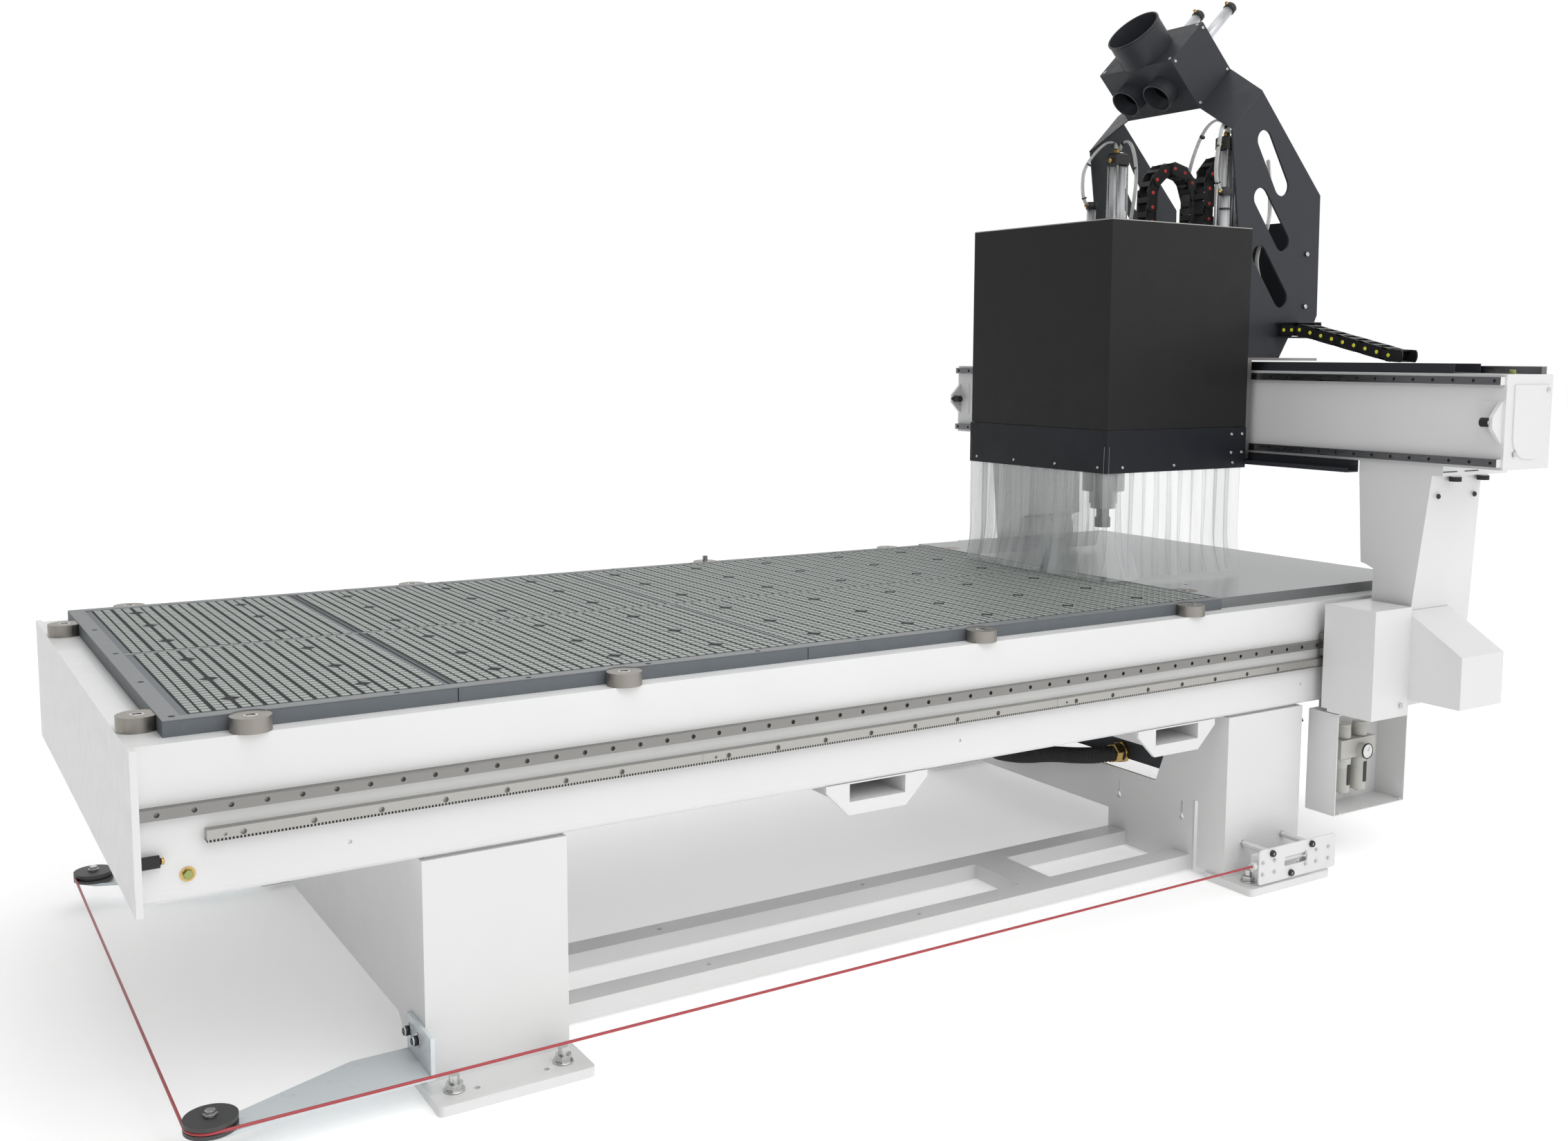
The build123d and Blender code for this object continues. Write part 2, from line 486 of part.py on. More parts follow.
LEG_OUT_TOP, LEG_IN_TOP, LEG_STEP_Z = 930.0, 697.0, 840.0
HEAD_LOW = 1100.0
with BuildPart() as gantry_legs:
    side = [(-LEG_OUT_TOP, HEAD_LOW), (-884, 730), (-850, 455), (-TRUCK_OUT, 455), (-TRUCK_OUT, LEG_STEP_Z - 10),
            (-733, LEG_STEP_Z), (-715, LEG_STEP_Z + 4), (-LEG_IN_TOP, HEAD_LOW)]
    along_x(side, BEAM_X0, 1665)
    across_y([(1612, HEAD_LOW + 1), (1666, 640), (1666, HEAD_LOW + 1)], -LEG_OUT_TOP - 1, -600, Mode.SUBTRACT)
    inner = [(-LEG_OUT_TOP + 16, HEAD_LOW - 14), (-872, 740), (-838, 454), (-TRUCK_OUT - 12, 454),
             (-TRUCK_OUT - 12, LEG_STEP_Z), (-LEG_IN_TOP - 14, HEAD_LOW - 14)]
    along_x(inner, BEAM_X0 + 12, 1598, Mode.SUBTRACT)
    block(BEAM_X0, 1682, -962, -LEG_IN_TOP, HEAD_LOW, BEAM_Z0)
    block(TRUCK_X0, TRUCK_X1, -TRUCK_OUT, -TRUCK_IN, 455, 742)
    block(PINION_X - 46, PINION_X + 46, -900, -TRUCK_OUT, PINION_Z - 46, PINION_Z + 46, Mode.SUBTRACT)
    rod("y", (PINION_X, -TRUCK_OUT, PINION_Z), 9, 60, Mode.SUBTRACT)
    for x, z in ((1430, 1043), (1588, 1043)):
        rod("y", (x, -924, z), 6, 10)
    both_sides()
save(gantry_legs.part, "gantry_legs")

MOTOR_X0, MOTOR_X1, MOTOR_OUT = 1379.0, 1560.0, 1060.0
with BuildPart() as drive_covers:
    block(TRUCK_X0, MOTOR_X0, -902, -TRUCK_OUT, 447, BED_TOP)
    block(TRUCK_X0 + SHEET, MOTOR_X0 + 1, -902 + SHEET, -TRUCK_OUT + 1, 447 + SHEET, BED_TOP - SHEET, Mode.SUBTRACT)
    rod("y", (1345, -904, 478), 6, 4)
    outer = [(-856, 490), (-MOTOR_OUT, 490), (-MOTOR_OUT, 631), (-888, 731), (-886, 731)]
    along_x(outer, MOTOR_X0, MOTOR_X1)
    inside = [(-850, 493), (-MOTOR_OUT + 3, 493), (-MOTOR_OUT + 3, 629), (-888, 727.5), (-880, 727.5)]
    along_x(inside, MOTOR_X0 + 3, MOTOR_X1 - 3, Mode.SUBTRACT)
    across_y([(BEAM_X0, 480), (1700, 480), (1700, 740), (BEAM_X0, 740)], -886, -800, Mode.SUBTRACT)
    both_sides()
save(drive_covers.part, "drive_covers")

with BuildPart() as x_motors:
    block(PINION_X - 40, PINION_X + 40, -840, -TRUCK_OUT, PINION_Z - 40, PINION_Z + 40)
    block(PINION_X - 38, PINION_X + 38, -1020, -840, PINION_Z - 38, PINION_Z + 38)
    rod("y", (PINION_X, -1032, PINION_Z), 30, 24)
    rod("y", (PINION_X, -TRUCK_OUT, PINION_Z), 8.05, 60, Mode.SUBTRACT)
    both_sides()
save(x_motors.part, "x_motors")

BLOCK_GAP = 0.4
with BuildPart() as x_bearing_blocks:
    for x in (TRUCK_X0 + 50, TRUCK_X1 - 50):
        block(x - 38, x + 38, -TRUCK_IN, -TRUCK_IN + 25, X_RAIL_Z - 31, X_RAIL_Z + 31)
        block(x - 39, x + 39, -RAIL_OUT - BLOCK_GAP, -RAIL_OUT + 20, X_RAIL_Z - RAIL_W / 2 - BLOCK_GAP,
              X_RAIL_Z + RAIL_W / 2 + BLOCK_GAP, Mode.SUBTRACT)
    both_sides()
save(x_bearing_blocks.part, "x_bearing_blocks")

with BuildPart() as beam_fasteners:
    for x in (1474, 1596):
        rod("z", (x, -947, HEAD_LOW - 11), 16, 12)
        rod("z", (x, -947, HEAD_LOW - 2.5), 7, 5)
    hexagon("z", (1500, -1080, BEAM_Z1 + 5), 14, 10)
    rod("y", (BEAM_X0 - 28, -BEAM_HALF + 25, BEAM_MID_Z), 12, 30)
    both_sides()
save(beam_fasteners.part, "beam_fasteners")


def pinion(side, name):
    """Toothed wheel and shaft of one X drive, under its rack."""
    with BuildPart() as gear:
        rod("y", (PINION_X, side * 719, PINION_Z), PINION_R - 3.2, 18)
        for k in range(24):
            angle = math.radians(15 * k)
            centre = (PINION_X + (PINION_R - 2) * math.cos(angle), side * 719,
                      PINION_Z + (PINION_R - 2) * math.sin(angle))
            with Locations(Location(centre, (0, -15 * k, 0))):
                Box(4, 18, 2.4)
        rod("y", (PINION_X, side * 750, PINION_Z), 8, 48)
    save(gear.part, name)


pinion(-1, "near_x_pinion")
pinion(1, "far_x_pinion")

# ---------------------------------------------------------------- carriage
SIDE_NEAR, SIDE_FAR = CARRIAGE_MID - HOOD_HALF, CARRIAGE_MID + HOOD_HALF
IN_NEAR, IN_FAR = SIDE_NEAR + SHEET, SIDE_FAR - SHEET
DECK_LOW, DECK_TOP = BEAM_Z1 + 30.0, BEAM_Z1 + 38.0
PINION_Y_X = Y_RACK_X[1] + PINION_GAP + PINION_R
with BuildPart() as carriage_plate:
    block(PLATE_FRONT, PLATE_FACE, IN_NEAR, IN_FAR, 1110, DECK_TOP)
    block(PLATE_FRONT, PLATE_FACE, IN_NEAR + TOWER_T, IN_FAR - TOWER_T, DECK_TOP, 1600)
    block(PLATE_FACE, 1655, IN_NEAR, IN_FAR, DECK_LOW, DECK_TOP)
    rod("z", (PINION_Y_X, CARRIAGE_MID, DECK_LOW), 24, 40, Mode.SUBTRACT)
    for y in (SPINDLE_Y - 90, SPINDLE_Y + 90, DRILL_Y - 70, DRILL_Y + 70):
        block(PLATE_FRONT - 12, PLATE_FRONT, y - 10, y + 10, 1120, 1590)
save(carriage_plate.part, "carriage_plate")

with BuildPart() as y_bearing_blocks:
    for z in BEAM_RAIL_Z:
        for y in (CARRIAGE_MID - 220, CARRIAGE_MID + 220):
            block(PLATE_FACE, PLATE_FACE + 25, y - 38, y + 38, max(z - 31, BEAM_Z0 - 10), min(z + 31, DECK_LOW))
            block(BEAM_X0 - RAIL_H - BLOCK_GAP, BEAM_X0, y - 39, y + 39, z - RAIL_W / 2 - BLOCK_GAP,
                  z + RAIL_W / 2 + BLOCK_GAP, Mode.SUBTRACT)
save(y_bearing_blocks.part, "y_bearing_blocks")

with BuildPart() as hood:
    block(HOOD_X0, HOOD_X1, SIDE_NEAR, SIDE_FAR, HOOD_LOW - 10, HOOD_TOP)
    block(HOOD_X0 + SHEET, HOOD_X1 + 1, IN_NEAR, IN_FAR, HOOD_LOW - 11, HOOD_TOP + 1, Mode.SUBTRACT)
    block(HOOD_X0 - SHEET, HOOD_X1, SIDE_NEAR - SHEET, SIDE_FAR + SHEET, BAND_LOW, HOOD_LOW)
    block(HOOD_X0, HOOD_X1 + 1, SIDE_NEAR, SIDE_FAR, BAND_LOW - 1, HOOD_LOW + 1, Mode.SUBTRACT)
    block(HOOD_X0, HOOD_X1, SIDE_NEAR, SIDE_FAR, HOOD_LOW - 10, HOOD_LOW)
    block(HOOD_X0 + SHEET, HOOD_X1 + 1, IN_NEAR, IN_FAR, HOOD_LOW - 11, HOOD_LOW + 1, Mode.SUBTRACT)
save(hood.part, "hood")

CURTAIN_LOW, CURTAIN_TOP = 792.0, 1160.0
with BuildPart() as strip_curtain:
    block(HOOD_X0, HOOD_X1 - 10, SIDE_NEAR, SIDE_FAR, CURTAIN_LOW, CURTAIN_TOP)
    block(HOOD_X0 + 4, HOOD_X1 + 1, SIDE_NEAR + 4, SIDE_FAR - 4, CURTAIN_LOW - 1, CURTAIN_TOP + 1, Mode.SUBTRACT)
save(strip_curtain.part, "strip_curtain")

TOWER_EDGE = ((1252.0, 2059.0), (1372.0, 2179.0))
BOX_EDGE = ((1274.0, 2140.0), (1398.0, 2265.0))
SLOTS = (((1389, 2040), (1468, 1915)), ((1382, 1874), (1479, 1754)), ((1384, 1708), (1480, 1588)))
SLOT_R = 30.0
BACK_SHEET_X, BACK_SHEET_Z = 1594.0, (1556.0, 1820.0)


def flap(side):
    """Bent sheet from a tower plate's head to the dust box."""
    a, b = [Vector(x, side * (HOOD_HALF - SHEET) + CARRIAGE_MID, z) for x, z in TOWER_EDGE]
    c, d = [Vector(x, side * 150.5 + CARRIAGE_MID, z) for x, z in BOX_EDGE]
    plane = Plane(origin=a, x_dir=b - a, z_dir=(b - a).cross(c - a))
    points = [plane.to_local_coords(p) for p in (a, b, d, c)]
    with BuildSketch(plane) as outline:
        with BuildLine():
            Polyline(*[(p.X, p.Y) for p in points], close=True)
        make_face()
    extrude(outline.sketch, amount=-side * SHEET)


with BuildPart() as tower:
    profile = [(1313, DECK_TOP), (1484, DECK_TOP), (1521, 1467), (1635, 1515), (1647, 1539), (1641, 1897),
               TOWER_EDGE[1], TOWER_EDGE[0], (1290, 1790), (1313, 1620)]
    for y0 in (IN_NEAR, IN_FAR - TOWER_T):
        across_y(profile, y0, y0 + TOWER_T)
        block(1312, HOOD_X1 + 1, y0 - 1, y0 + TOWER_T + 1, DECK_TOP, 1601, Mode.SUBTRACT)
        block(HOOD_X1, PLATE_FACE + 1, y0, y0 + TOWER_T, DECK_TOP, 1601)
        for (xa, za), (xb, zb) in SLOTS:
            length = math.hypot(xb - xa, zb - za) + 2 * SLOT_R
            turn = math.degrees(math.atan2(zb - za, xb - xa))
            with BuildSketch(Plane.XZ.offset(-(y0 + TOWER_T + 1))) as slot:
                with Locations(Location(((xa + xb) / 2, (za + zb) / 2, 0), turn)):
                    SlotOverall(length, 2 * SLOT_R)
            extrude(slot.sketch, amount=TOWER_T + 2, mode=Mode.SUBTRACT)
    block(BACK_SHEET_X, BACK_SHEET_X + SHEET, IN_NEAR + TOWER_T, IN_FAR - TOWER_T, *BACK_SHEET_Z)
    for y0 in (IN_NEAR + TOWER_T, IN_FAR - TOWER_T - SHEET):
        block(BACK_SHEET_X - 17, BACK_SHEET_X, y0, y0 + SHEET, *BACK_SHEET_Z)
    for side in (-1, 1):
        flap(side)
        for z in (1564, 1720):
            rod("y", (1587, CARRIAGE_MID + side * (HOOD_HALF - SHEET + 2), z), 7, 4)
save(tower.part, "tower")

# ---------------------------------------------------------------- dust box, tilted 45 degrees
BOX_LOW = Vector(1274.0, CARRIAGE_MID, 2140.0)      # bottom edge of the square section
BOX_SIDE, BOX_LENGTH = 176.0, 300.0
BACK = Vector(math.sqrt(0.5), 0, math.sqrt(0.5))    # away from the small ports
UP = Vector(-math.sqrt(0.5), 0, math.sqrt(0.5))     # towards the large port
BOX_MIDDLE = BOX_LOW + (BACK + UP) * (BOX_SIDE / 2)
PORT_Y = (CARRIAGE_MID - 65.0, CARRIAGE_MID + 65.0)
OUTLET_R, OUTLET_LENGTH = 82.0, 85.0
INLET_R, INLET_LENGTH = 45.0, 45.0


def tilted(distance_back, distance_up, y, direction):
    """A plane on the tilted box, its normal along one of the box directions."""
    middle = BOX_MIDDLE + BACK * distance_back + UP * distance_up
    return Plane(origin=(middle.X, y, middle.Z), x_dir=(0, 1, 0), z_dir=direction)


def tilted_rod(plane, radius, length, mode=Mode.ADD):
    with BuildSketch(plane) as outline:
        Circle(radius)
    extrude(outline.sketch, amount=length, mode=mode)


HALF = BOX_SIDE / 2
with BuildPart() as dust_box:
    section = Plane(origin=(BOX_MIDDLE.X, CARRIAGE_MID - BOX_LENGTH / 2, BOX_MIDDLE.Z), x_dir=BACK, z_dir=(0, 1, 0))
    with BuildSketch(section):
        Rectangle(BOX_SIDE, BOX_SIDE)
    extrude(amount=BOX_LENGTH)
    with BuildSketch(section.offset(SHEET)):
        Rectangle(BOX_SIDE - 2 * SHEET, BOX_SIDE - 2 * SHEET)
    extrude(amount=BOX_LENGTH - 2 * SHEET, mode=Mode.SUBTRACT)
    tilted_rod(tilted(-18, HALF, CARRIAGE_MID, UP), OUTLET_R, OUTLET_LENGTH)
    tilted_rod(tilted(-18, HALF - SHEET - 1, CARRIAGE_MID, UP), OUTLET_R - SHEET, OUTLET_LENGTH + 10, Mode.SUBTRACT)
    for y in PORT_Y:
        tilted_rod(tilted(-HALF, 0, y, BACK * -1), INLET_R, INLET_LENGTH)
        tilted_rod(tilted(-HALF + SHEET + 1, 0, y, BACK * -1), INLET_R - SHEET, INLET_LENGTH + 10, Mode.SUBTRACT)
        tilted_rod(tilted(HALF - SHEET - 1, 0, y, BACK), 7, 10, Mode.SUBTRACT)
save(dust_box.part, "dust_box")

with BuildPart() as gate_cylinders:
    for y in PORT_Y:
        tilted_rod(tilted(HALF, 0, y, BACK), 15, 205)
        tilted_rod(tilted(HALF - 1, 0, y, BACK), 10, 190, Mode.SUBTRACT)
        tilted_rod(tilted(HALF, 0, y, BACK), 20, 16)
        tilted_rod(tilted(HALF - 1, 0, y, BACK), 5.05, 18, Mode.SUBTRACT)
        tilted_rod(tilted(HALF + 190, 0, y, BACK), 18, 22)
save(gate_cylinders.part, "gate_cylinders")

GATE_REST = HALF - SHEET - 14.0
GATE_STROKE = 2 * (HALF - SHEET) - 14.5


def blast_gate(y, name):
    """Valve plate and rod that closes one dust inlet."""
    with BuildPart() as gate:
        tilted_rod(tilted(GATE_REST, 0, y, BACK), 50, 6)
        tilted_rod(tilted(GATE_REST + 6, 0, y, BACK), 5, GATE_STROKE + 20)
    save(gate.part, name)


blast_gate(PORT_Y[0], "near_blast_gate")
blast_gate(PORT_Y[1], "far_blast_gate")

# ---------------------------------------------------------------- chains, cylinders, tubes
CHAIN_X0, CHAIN_X1 = 1464.0, 1534.0
with BuildPart() as carriage_chain:
    block(CHAIN_X0 - 4, CHAIN_X1 + 30, IN_NEAR - 88, IN_NEAR - SHEET, 1468, 1515)
    block(CHAIN_X0, CHAIN_X1 + 26, IN_NEAR - 90, IN_NEAR - SHEET - 4, 1472, 1511, Mode.SUBTRACT)
    slope = [(IN_NEAR - 20, 1478), (IN_NEAR - 88, 1478), (-700, 1399.5), (-760, 1399.5), (-760, 1405), (-722, 1423),
             (IN_NEAR - 96, 1507), (IN_NEAR - 20, 1507)]
    along_x(slope, CHAIN_X0 + 2, CHAIN_X1)
save(carriage_chain.part, "carriage_chain")

LIFT = ((1300.0, CARRIAGE_MID - 240), (1300.0, CARRIAGE_MID + 220))
SMALL_LIFT = ((1256.0, CARRIAGE_MID - 276), (1240.0, CARRIAGE_MID + 272))
LIFT_LOW, LIFT_TOP = 1620.0, 2050.0
with BuildPart() as lift_cylinders:
    block(1262, PLATE_FRONT, IN_NEAR + TOWER_T, IN_FAR - TOWER_T, LIFT_LOW - 12, LIFT_LOW)
    for x, y in LIFT:
        rod("z", (x, y, (LIFT_LOW + LIFT_TOP) / 2), 26, LIFT_TOP - LIFT_LOW)
        rod("z", (x, y, (LIFT_LOW + LIFT_TOP) / 2 - 20), 20, LIFT_TOP - LIFT_LOW - 40, Mode.SUBTRACT)
        block(x - 28, x + 28, y - 28, y + 28, LIFT_TOP - 42, LIFT_TOP)
        rod("z", (x, y, LIFT_LOW - 6), 10, 20, Mode.SUBTRACT)
    for x, y in SMALL_LIFT:
        rod("z", (x, y, 1768), 15, 230)
        rod("z", (x, y, 1888), 18, 22)
    block(1230, 1290, IN_NEAR, IN_NEAR + 40, 1653 - 10, 1653)
    block(1225, 1290, IN_FAR - 40, IN_FAR, 1653 - 10, 1653)
    for y0 in (IN_NEAR, IN_FAR - 40):
        block(1263, 1275, y0, y0 + 12, LIFT_LOW, 1643)
save(lift_cylinders.part, "lift_cylinders")

ARCHES = ((1165.0, 1345.0, -75.0, 1985.0), (1268.0, 1430.0, -204.0, 2003.0))
with BuildPart() as hood_chains:
    for front, rear, y, top in ARCHES:
        radius = (rear - front) / 2
        with BuildSketch(Plane.XZ.offset(-(y + 24))) as outline:
            with Locations(((front + rear) / 2, top - radius - 14)):
                Circle(radius + 14)
                Circle(radius - 14, mode=Mode.SUBTRACT)
                with Locations((0, -radius - 14)):
                    Rectangle(4 * radius, 2 * radius + 28, mode=Mode.SUBTRACT)
        extrude(outline.sketch, amount=48)
        block(front - 14, front + 14, y - 24, y + 24, 1668, top - radius - 14)
        block(rear - 14, rear + 14, y - 24, y + 24, 1668, top - radius - 14)
        block(front - 18, rear + 18, y - 28, y + 28, 1656, 1668)
    block(1330, PLATE_FACE + 60, -232, -47, 1640, 1656)
    block(PLATE_FRONT, PLATE_FACE, -232, -47, 1600, 1640)
save(hood_chains.part, "hood_chains")

TUBE_R = 5.0
with BuildPart() as air_tubes:
    for (x, y), (hx, hy) in zip(LIFT, SMALL_LIFT):
        points = [(x - 6, y, LIFT_TOP), (x - 6, y, LIFT_TOP + 32), (x - 60, y + (hy - y) * 0.5, LIFT_TOP + 12),
                  (hx - 44, hy, 1990), (hx - 40, hy, 1880), (hx - 15 - TUBE_R, hy, 1800)]
        with BuildLine() as route:
            FilletPolyline(*points, radius=[14, 20, 50, 60])
        with BuildSketch(Plane(origin=route.line @ 0, z_dir=route.line % 0)):
            Circle(TUBE_R)
        sweep()
save(air_tubes.part, "air_tubes")

# ---------------------------------------------------------------- Y drive
with BuildPart() as y_motor:
    block(PINION_Y_X - 45, PINION_Y_X + 45, CARRIAGE_MID - 45, CARRIAGE_MID + 45, DECK_TOP, DECK_TOP + 75)
    block(PINION_Y_X - 40, PINION_Y_X + 40, CARRIAGE_MID - 40, CARRIAGE_MID + 40, DECK_TOP + 75, 1552)
    rod("z", (PINION_Y_X, CARRIAGE_MID, DECK_TOP), 8.05, 60, Mode.SUBTRACT)
save(y_motor.part, "y_motor")

with BuildPart() as y_pinion:
    mid = BEAM_Z1 + 11
    rod("z", (PINION_Y_X, CARRIAGE_MID, mid), PINION_R - 3.2, 18)
    for k in range(24):
        with Locations(Location((PINION_Y_X, CARRIAGE_MID, mid), (0, 0, 15 * k))):
            with Locations((PINION_R - 2, 0, 0)):
                Box(4, 2.4, 18)
    rod("z", (PINION_Y_X, CARRIAGE_MID, mid + 24), 8, 40)
save(y_pinion.part, "y_pinion")

# ---------------------------------------------------------------- Z heads
Z_PLATE_X0, Z_PLATE_X1 = 1296.0, 1314.0


def z_slide(y, half, spread, low, high):
    """Slide plate with its two rail shoes each side."""
    block(Z_PLATE_X0, Z_PLATE_X1, y - half, y + half, low, high)
    for z in (low + 150, high - 70):
        for shoe in (y - spread, y + spread):
            block(Z_PLATE_X1, PLATE_FRONT - 4, shoe - 22, shoe + 22, z - 32, z + 32)
            block(PLATE_FRONT - 12 - BLOCK_GAP, PLATE_FRONT, shoe - 10 - BLOCK_GAP, shoe + 10 + BLOCK_GAP,
                  z - 33, z + 33, Mode.SUBTRACT)


NOSE_LOW, SHANK_R = 940.0, 18.0
with BuildPart() as spindle_head:
    z_slide(SPINDLE_Y, 118, 90, 1120, 1480)
    block(SPINDLE_X + 70, Z_PLATE_X0, SPINDLE_Y - 60, SPINDLE_Y + 60, 1150, 1400)
    block(SPINDLE_X - 70, SPINDLE_X + 70, SPINDLE_Y - 70, SPINDLE_Y + 70, 1080, 1430)
    rod("z", (SPINDLE_X, SPINDLE_Y, 1455), 60, 50)
    rod("z", (SPINDLE_X, SPINDLE_Y, 1038), 65, 86)
    rod("z", (SPINDLE_X, SPINDLE_Y, 976), 43.5, 40)
    rod("z", (SPINDLE_X, SPINDLE_Y, NOSE_LOW + 8.5), 39, 17)
    rod("z", (SPINDLE_X, SPINDLE_Y, NOSE_LOW + 45), SHANK_R + 0.05, 92, Mode.SUBTRACT)
    block(Z_PLATE_X0 - 8, Z_PLATE_X1, LIFT[1][1] - 20, LIFT[1][1] + 12, 1440, 1470)
    rod("z", (LIFT[1][0], LIFT[1][1], 1610), 8, 280)
save(spindle_head.part, "spindle_head")

with BuildPart() as tool_holder:
    rod("z", (SPINDLE_X, SPINDLE_Y, NOSE_LOW + 39), SHANK_R, 82)
    rod("z", (SPINDLE_X, SPINDLE_Y, 925.5), 20, 27)
    rod("z", (SPINDLE_X, SPINDLE_Y, 896.5), 24.5, 31)
save(tool_holder.part, "tool_holder")

with BuildPart() as drill_head:
    z_slide(DRILL_Y, 96, 70, 1140, 1440)
    block(1130, Z_PLATE_X0, DRILL_Y - 60, DRILL_Y + 60, 1160, 1330)
    for k in range(4):
        x = 1154 + 32 * k
        rod("z", (x, DRILL_Y, 1135), 11, 50)
        rod("z", (x, DRILL_Y, 1102.5), 4, 15)
    rod("z", (1200, DRILL_Y, 1400), 45, 140)
    block(Z_PLATE_X0 - 8, Z_PLATE_X1, LIFT[0][1] - 12, LIFT[0][1] + 12, 1400, 1425)
    rod("z", (LIFT[0][0], LIFT[0][1], 1590), 8, 330)
save(drill_head.part, "drill_head")
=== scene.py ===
"""Looks for the travelling gantry CNC router, in metres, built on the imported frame."""
import math
import random

import bmesh
import bpy
from mathutils import Matrix, Vector


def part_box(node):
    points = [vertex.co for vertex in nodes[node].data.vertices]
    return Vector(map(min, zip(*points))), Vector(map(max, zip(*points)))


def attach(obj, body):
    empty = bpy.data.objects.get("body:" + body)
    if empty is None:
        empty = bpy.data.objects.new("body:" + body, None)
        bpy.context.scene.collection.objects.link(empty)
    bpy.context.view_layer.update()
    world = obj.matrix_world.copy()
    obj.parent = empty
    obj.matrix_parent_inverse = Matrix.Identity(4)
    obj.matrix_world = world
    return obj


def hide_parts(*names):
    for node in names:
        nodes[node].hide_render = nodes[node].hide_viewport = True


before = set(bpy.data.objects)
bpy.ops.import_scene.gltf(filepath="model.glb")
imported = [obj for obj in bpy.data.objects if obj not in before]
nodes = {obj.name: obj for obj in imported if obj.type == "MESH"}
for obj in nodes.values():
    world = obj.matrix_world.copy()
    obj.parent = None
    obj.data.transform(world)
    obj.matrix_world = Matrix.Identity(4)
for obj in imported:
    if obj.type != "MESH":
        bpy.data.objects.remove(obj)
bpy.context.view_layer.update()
random.seed(7)


# ---------------------------------------------------------------- materials
def shader(name, colour, roughness, metallic=0.0, coat=0.0, alpha=1.0):
    """A material with its even values on the shader's own sockets, and its node tree."""
    mat = bpy.data.materials.new(name)
    mat.use_nodes = True
    surface = mat.node_tree.nodes["Principled BSDF"]
    surface.inputs["Base Color"].default_value = (*colour, 1)
    surface.inputs["Roughness"].default_value = roughness
    surface.inputs["Metallic"].default_value = metallic
    surface.inputs["Coat Weight"].default_value = coat
    surface.inputs["Alpha"].default_value = alpha
    mat.diffuse_color = (*colour, alpha)
    return mat, mat.node_tree, surface


def place(tree, stretch=(1, 1, 1)):
    """Object coordinates, which are the frame's own metres, with an optional stretch."""
    where = tree.nodes.new("ShaderNodeTexCoord")
    mapping = tree.nodes.new("ShaderNodeMapping")
    mapping.inputs["Scale"].default_value = stretch
    tree.links.new(where.outputs["Object"], mapping.inputs["Vector"])
    return mapping.outputs["Vector"]


def noise(tree, scale, detail=3.0, stretch=(1, 1, 1)):
    cloud = tree.nodes.new("ShaderNodeTexNoise")
    cloud.inputs["Scale"].default_value = scale
    cloud.inputs["Detail"].default_value = detail
    tree.links.new(place(tree, stretch), cloud.inputs["Vector"])
    return cloud.outputs["Fac"]


def spread(tree, factor, low, high, start=0.3, end=0.7):
    """Maps a 0 to 1 factor onto the range low to high."""
    ramp = tree.nodes.new("ShaderNodeMapRange")
    limits = {"From Min": start, "From Max": end, "To Min": low, "To Max": high}
    for socket, value in limits.items():
        ramp.inputs[socket].default_value = value
    tree.links.new(factor, ramp.inputs["Value"])
    return ramp.outputs["Result"]


MIX_FACTOR, MIX_FIRST, MIX_SECOND, MIX_RESULT = 0, 6, 7, 2      # the mix node's colour sockets


def blend_colour(tree, factor, first, second):
    mix = tree.nodes.new("ShaderNodeMix")
    mix.data_type = "RGBA"
    mix.inputs[MIX_FIRST].default_value = (*first, 1)
    mix.inputs[MIX_SECOND].default_value = (*second, 1)
    tree.links.new(factor, mix.inputs[MIX_FACTOR])
    return mix.outputs[MIX_RESULT]


def bump(tree, surface, height, depth, strength=0.5):
    node = tree.nodes.new("ShaderNodeBump")
    node.inputs["Distance"].default_value = depth
    node.inputs["Strength"].default_value = strength
    tree.links.new(height, node.inputs["Height"])
    tree.links.new(node.outputs["Normal"], surface.inputs["Normal"])


def shade(colour, share):
    return tuple(channel * share for channel in colour)


def painted(name, colour, roughness=0.38, coat=0.15):
    """Powder coat: fine orange peel, faint cloudiness and slightly uneven gloss."""
    mat, tree, surface = shader(name, colour, roughness, coat=coat)
    cloud = noise(tree, 3.5)
    tree.links.new(blend_colour(tree, cloud, shade(colour, 0.93), colour), surface.inputs["Base Color"])
    gloss = spread(tree, noise(tree, 25), roughness - 0.05, roughness + 0.08)
    tree.links.new(gloss, surface.inputs["Roughness"])
    bump(tree, surface, noise(tree, 900, 2), 0.0002, 0.3)
    return mat


def metal(name, colour, roughness=0.32, stretch=(1, 1, 1), grain=500):
    """Machined metal with drawn grain along the axis that stretch shortens."""
    mat, tree, surface = shader(name, colour, roughness, metallic=1.0)
    drawn = noise(tree, grain, 4, stretch)
    tree.links.new(blend_colour(tree, drawn, shade(colour, 0.78), colour), surface.inputs["Base Color"])
    tree.links.new(spread(tree, drawn, roughness - 0.08, roughness + 0.12), surface.inputs["Roughness"])
    bump(tree, surface, drawn, 0.00008, 0.4)
    return mat


def moulded(name, colour, roughness=0.5, coat=0.0):
    """Plastic or rubber with a fine moulded texture."""
    mat, tree, surface = shader(name, colour, roughness, coat=coat)
    mottled = blend_colour(tree, noise(tree, 30), shade(colour, 0.85), colour)
    tree.links.new(mottled, surface.inputs["Base Color"])
    bump(tree, surface, noise(tree, 1400, 2), 0.0001, 0.35)
    return mat


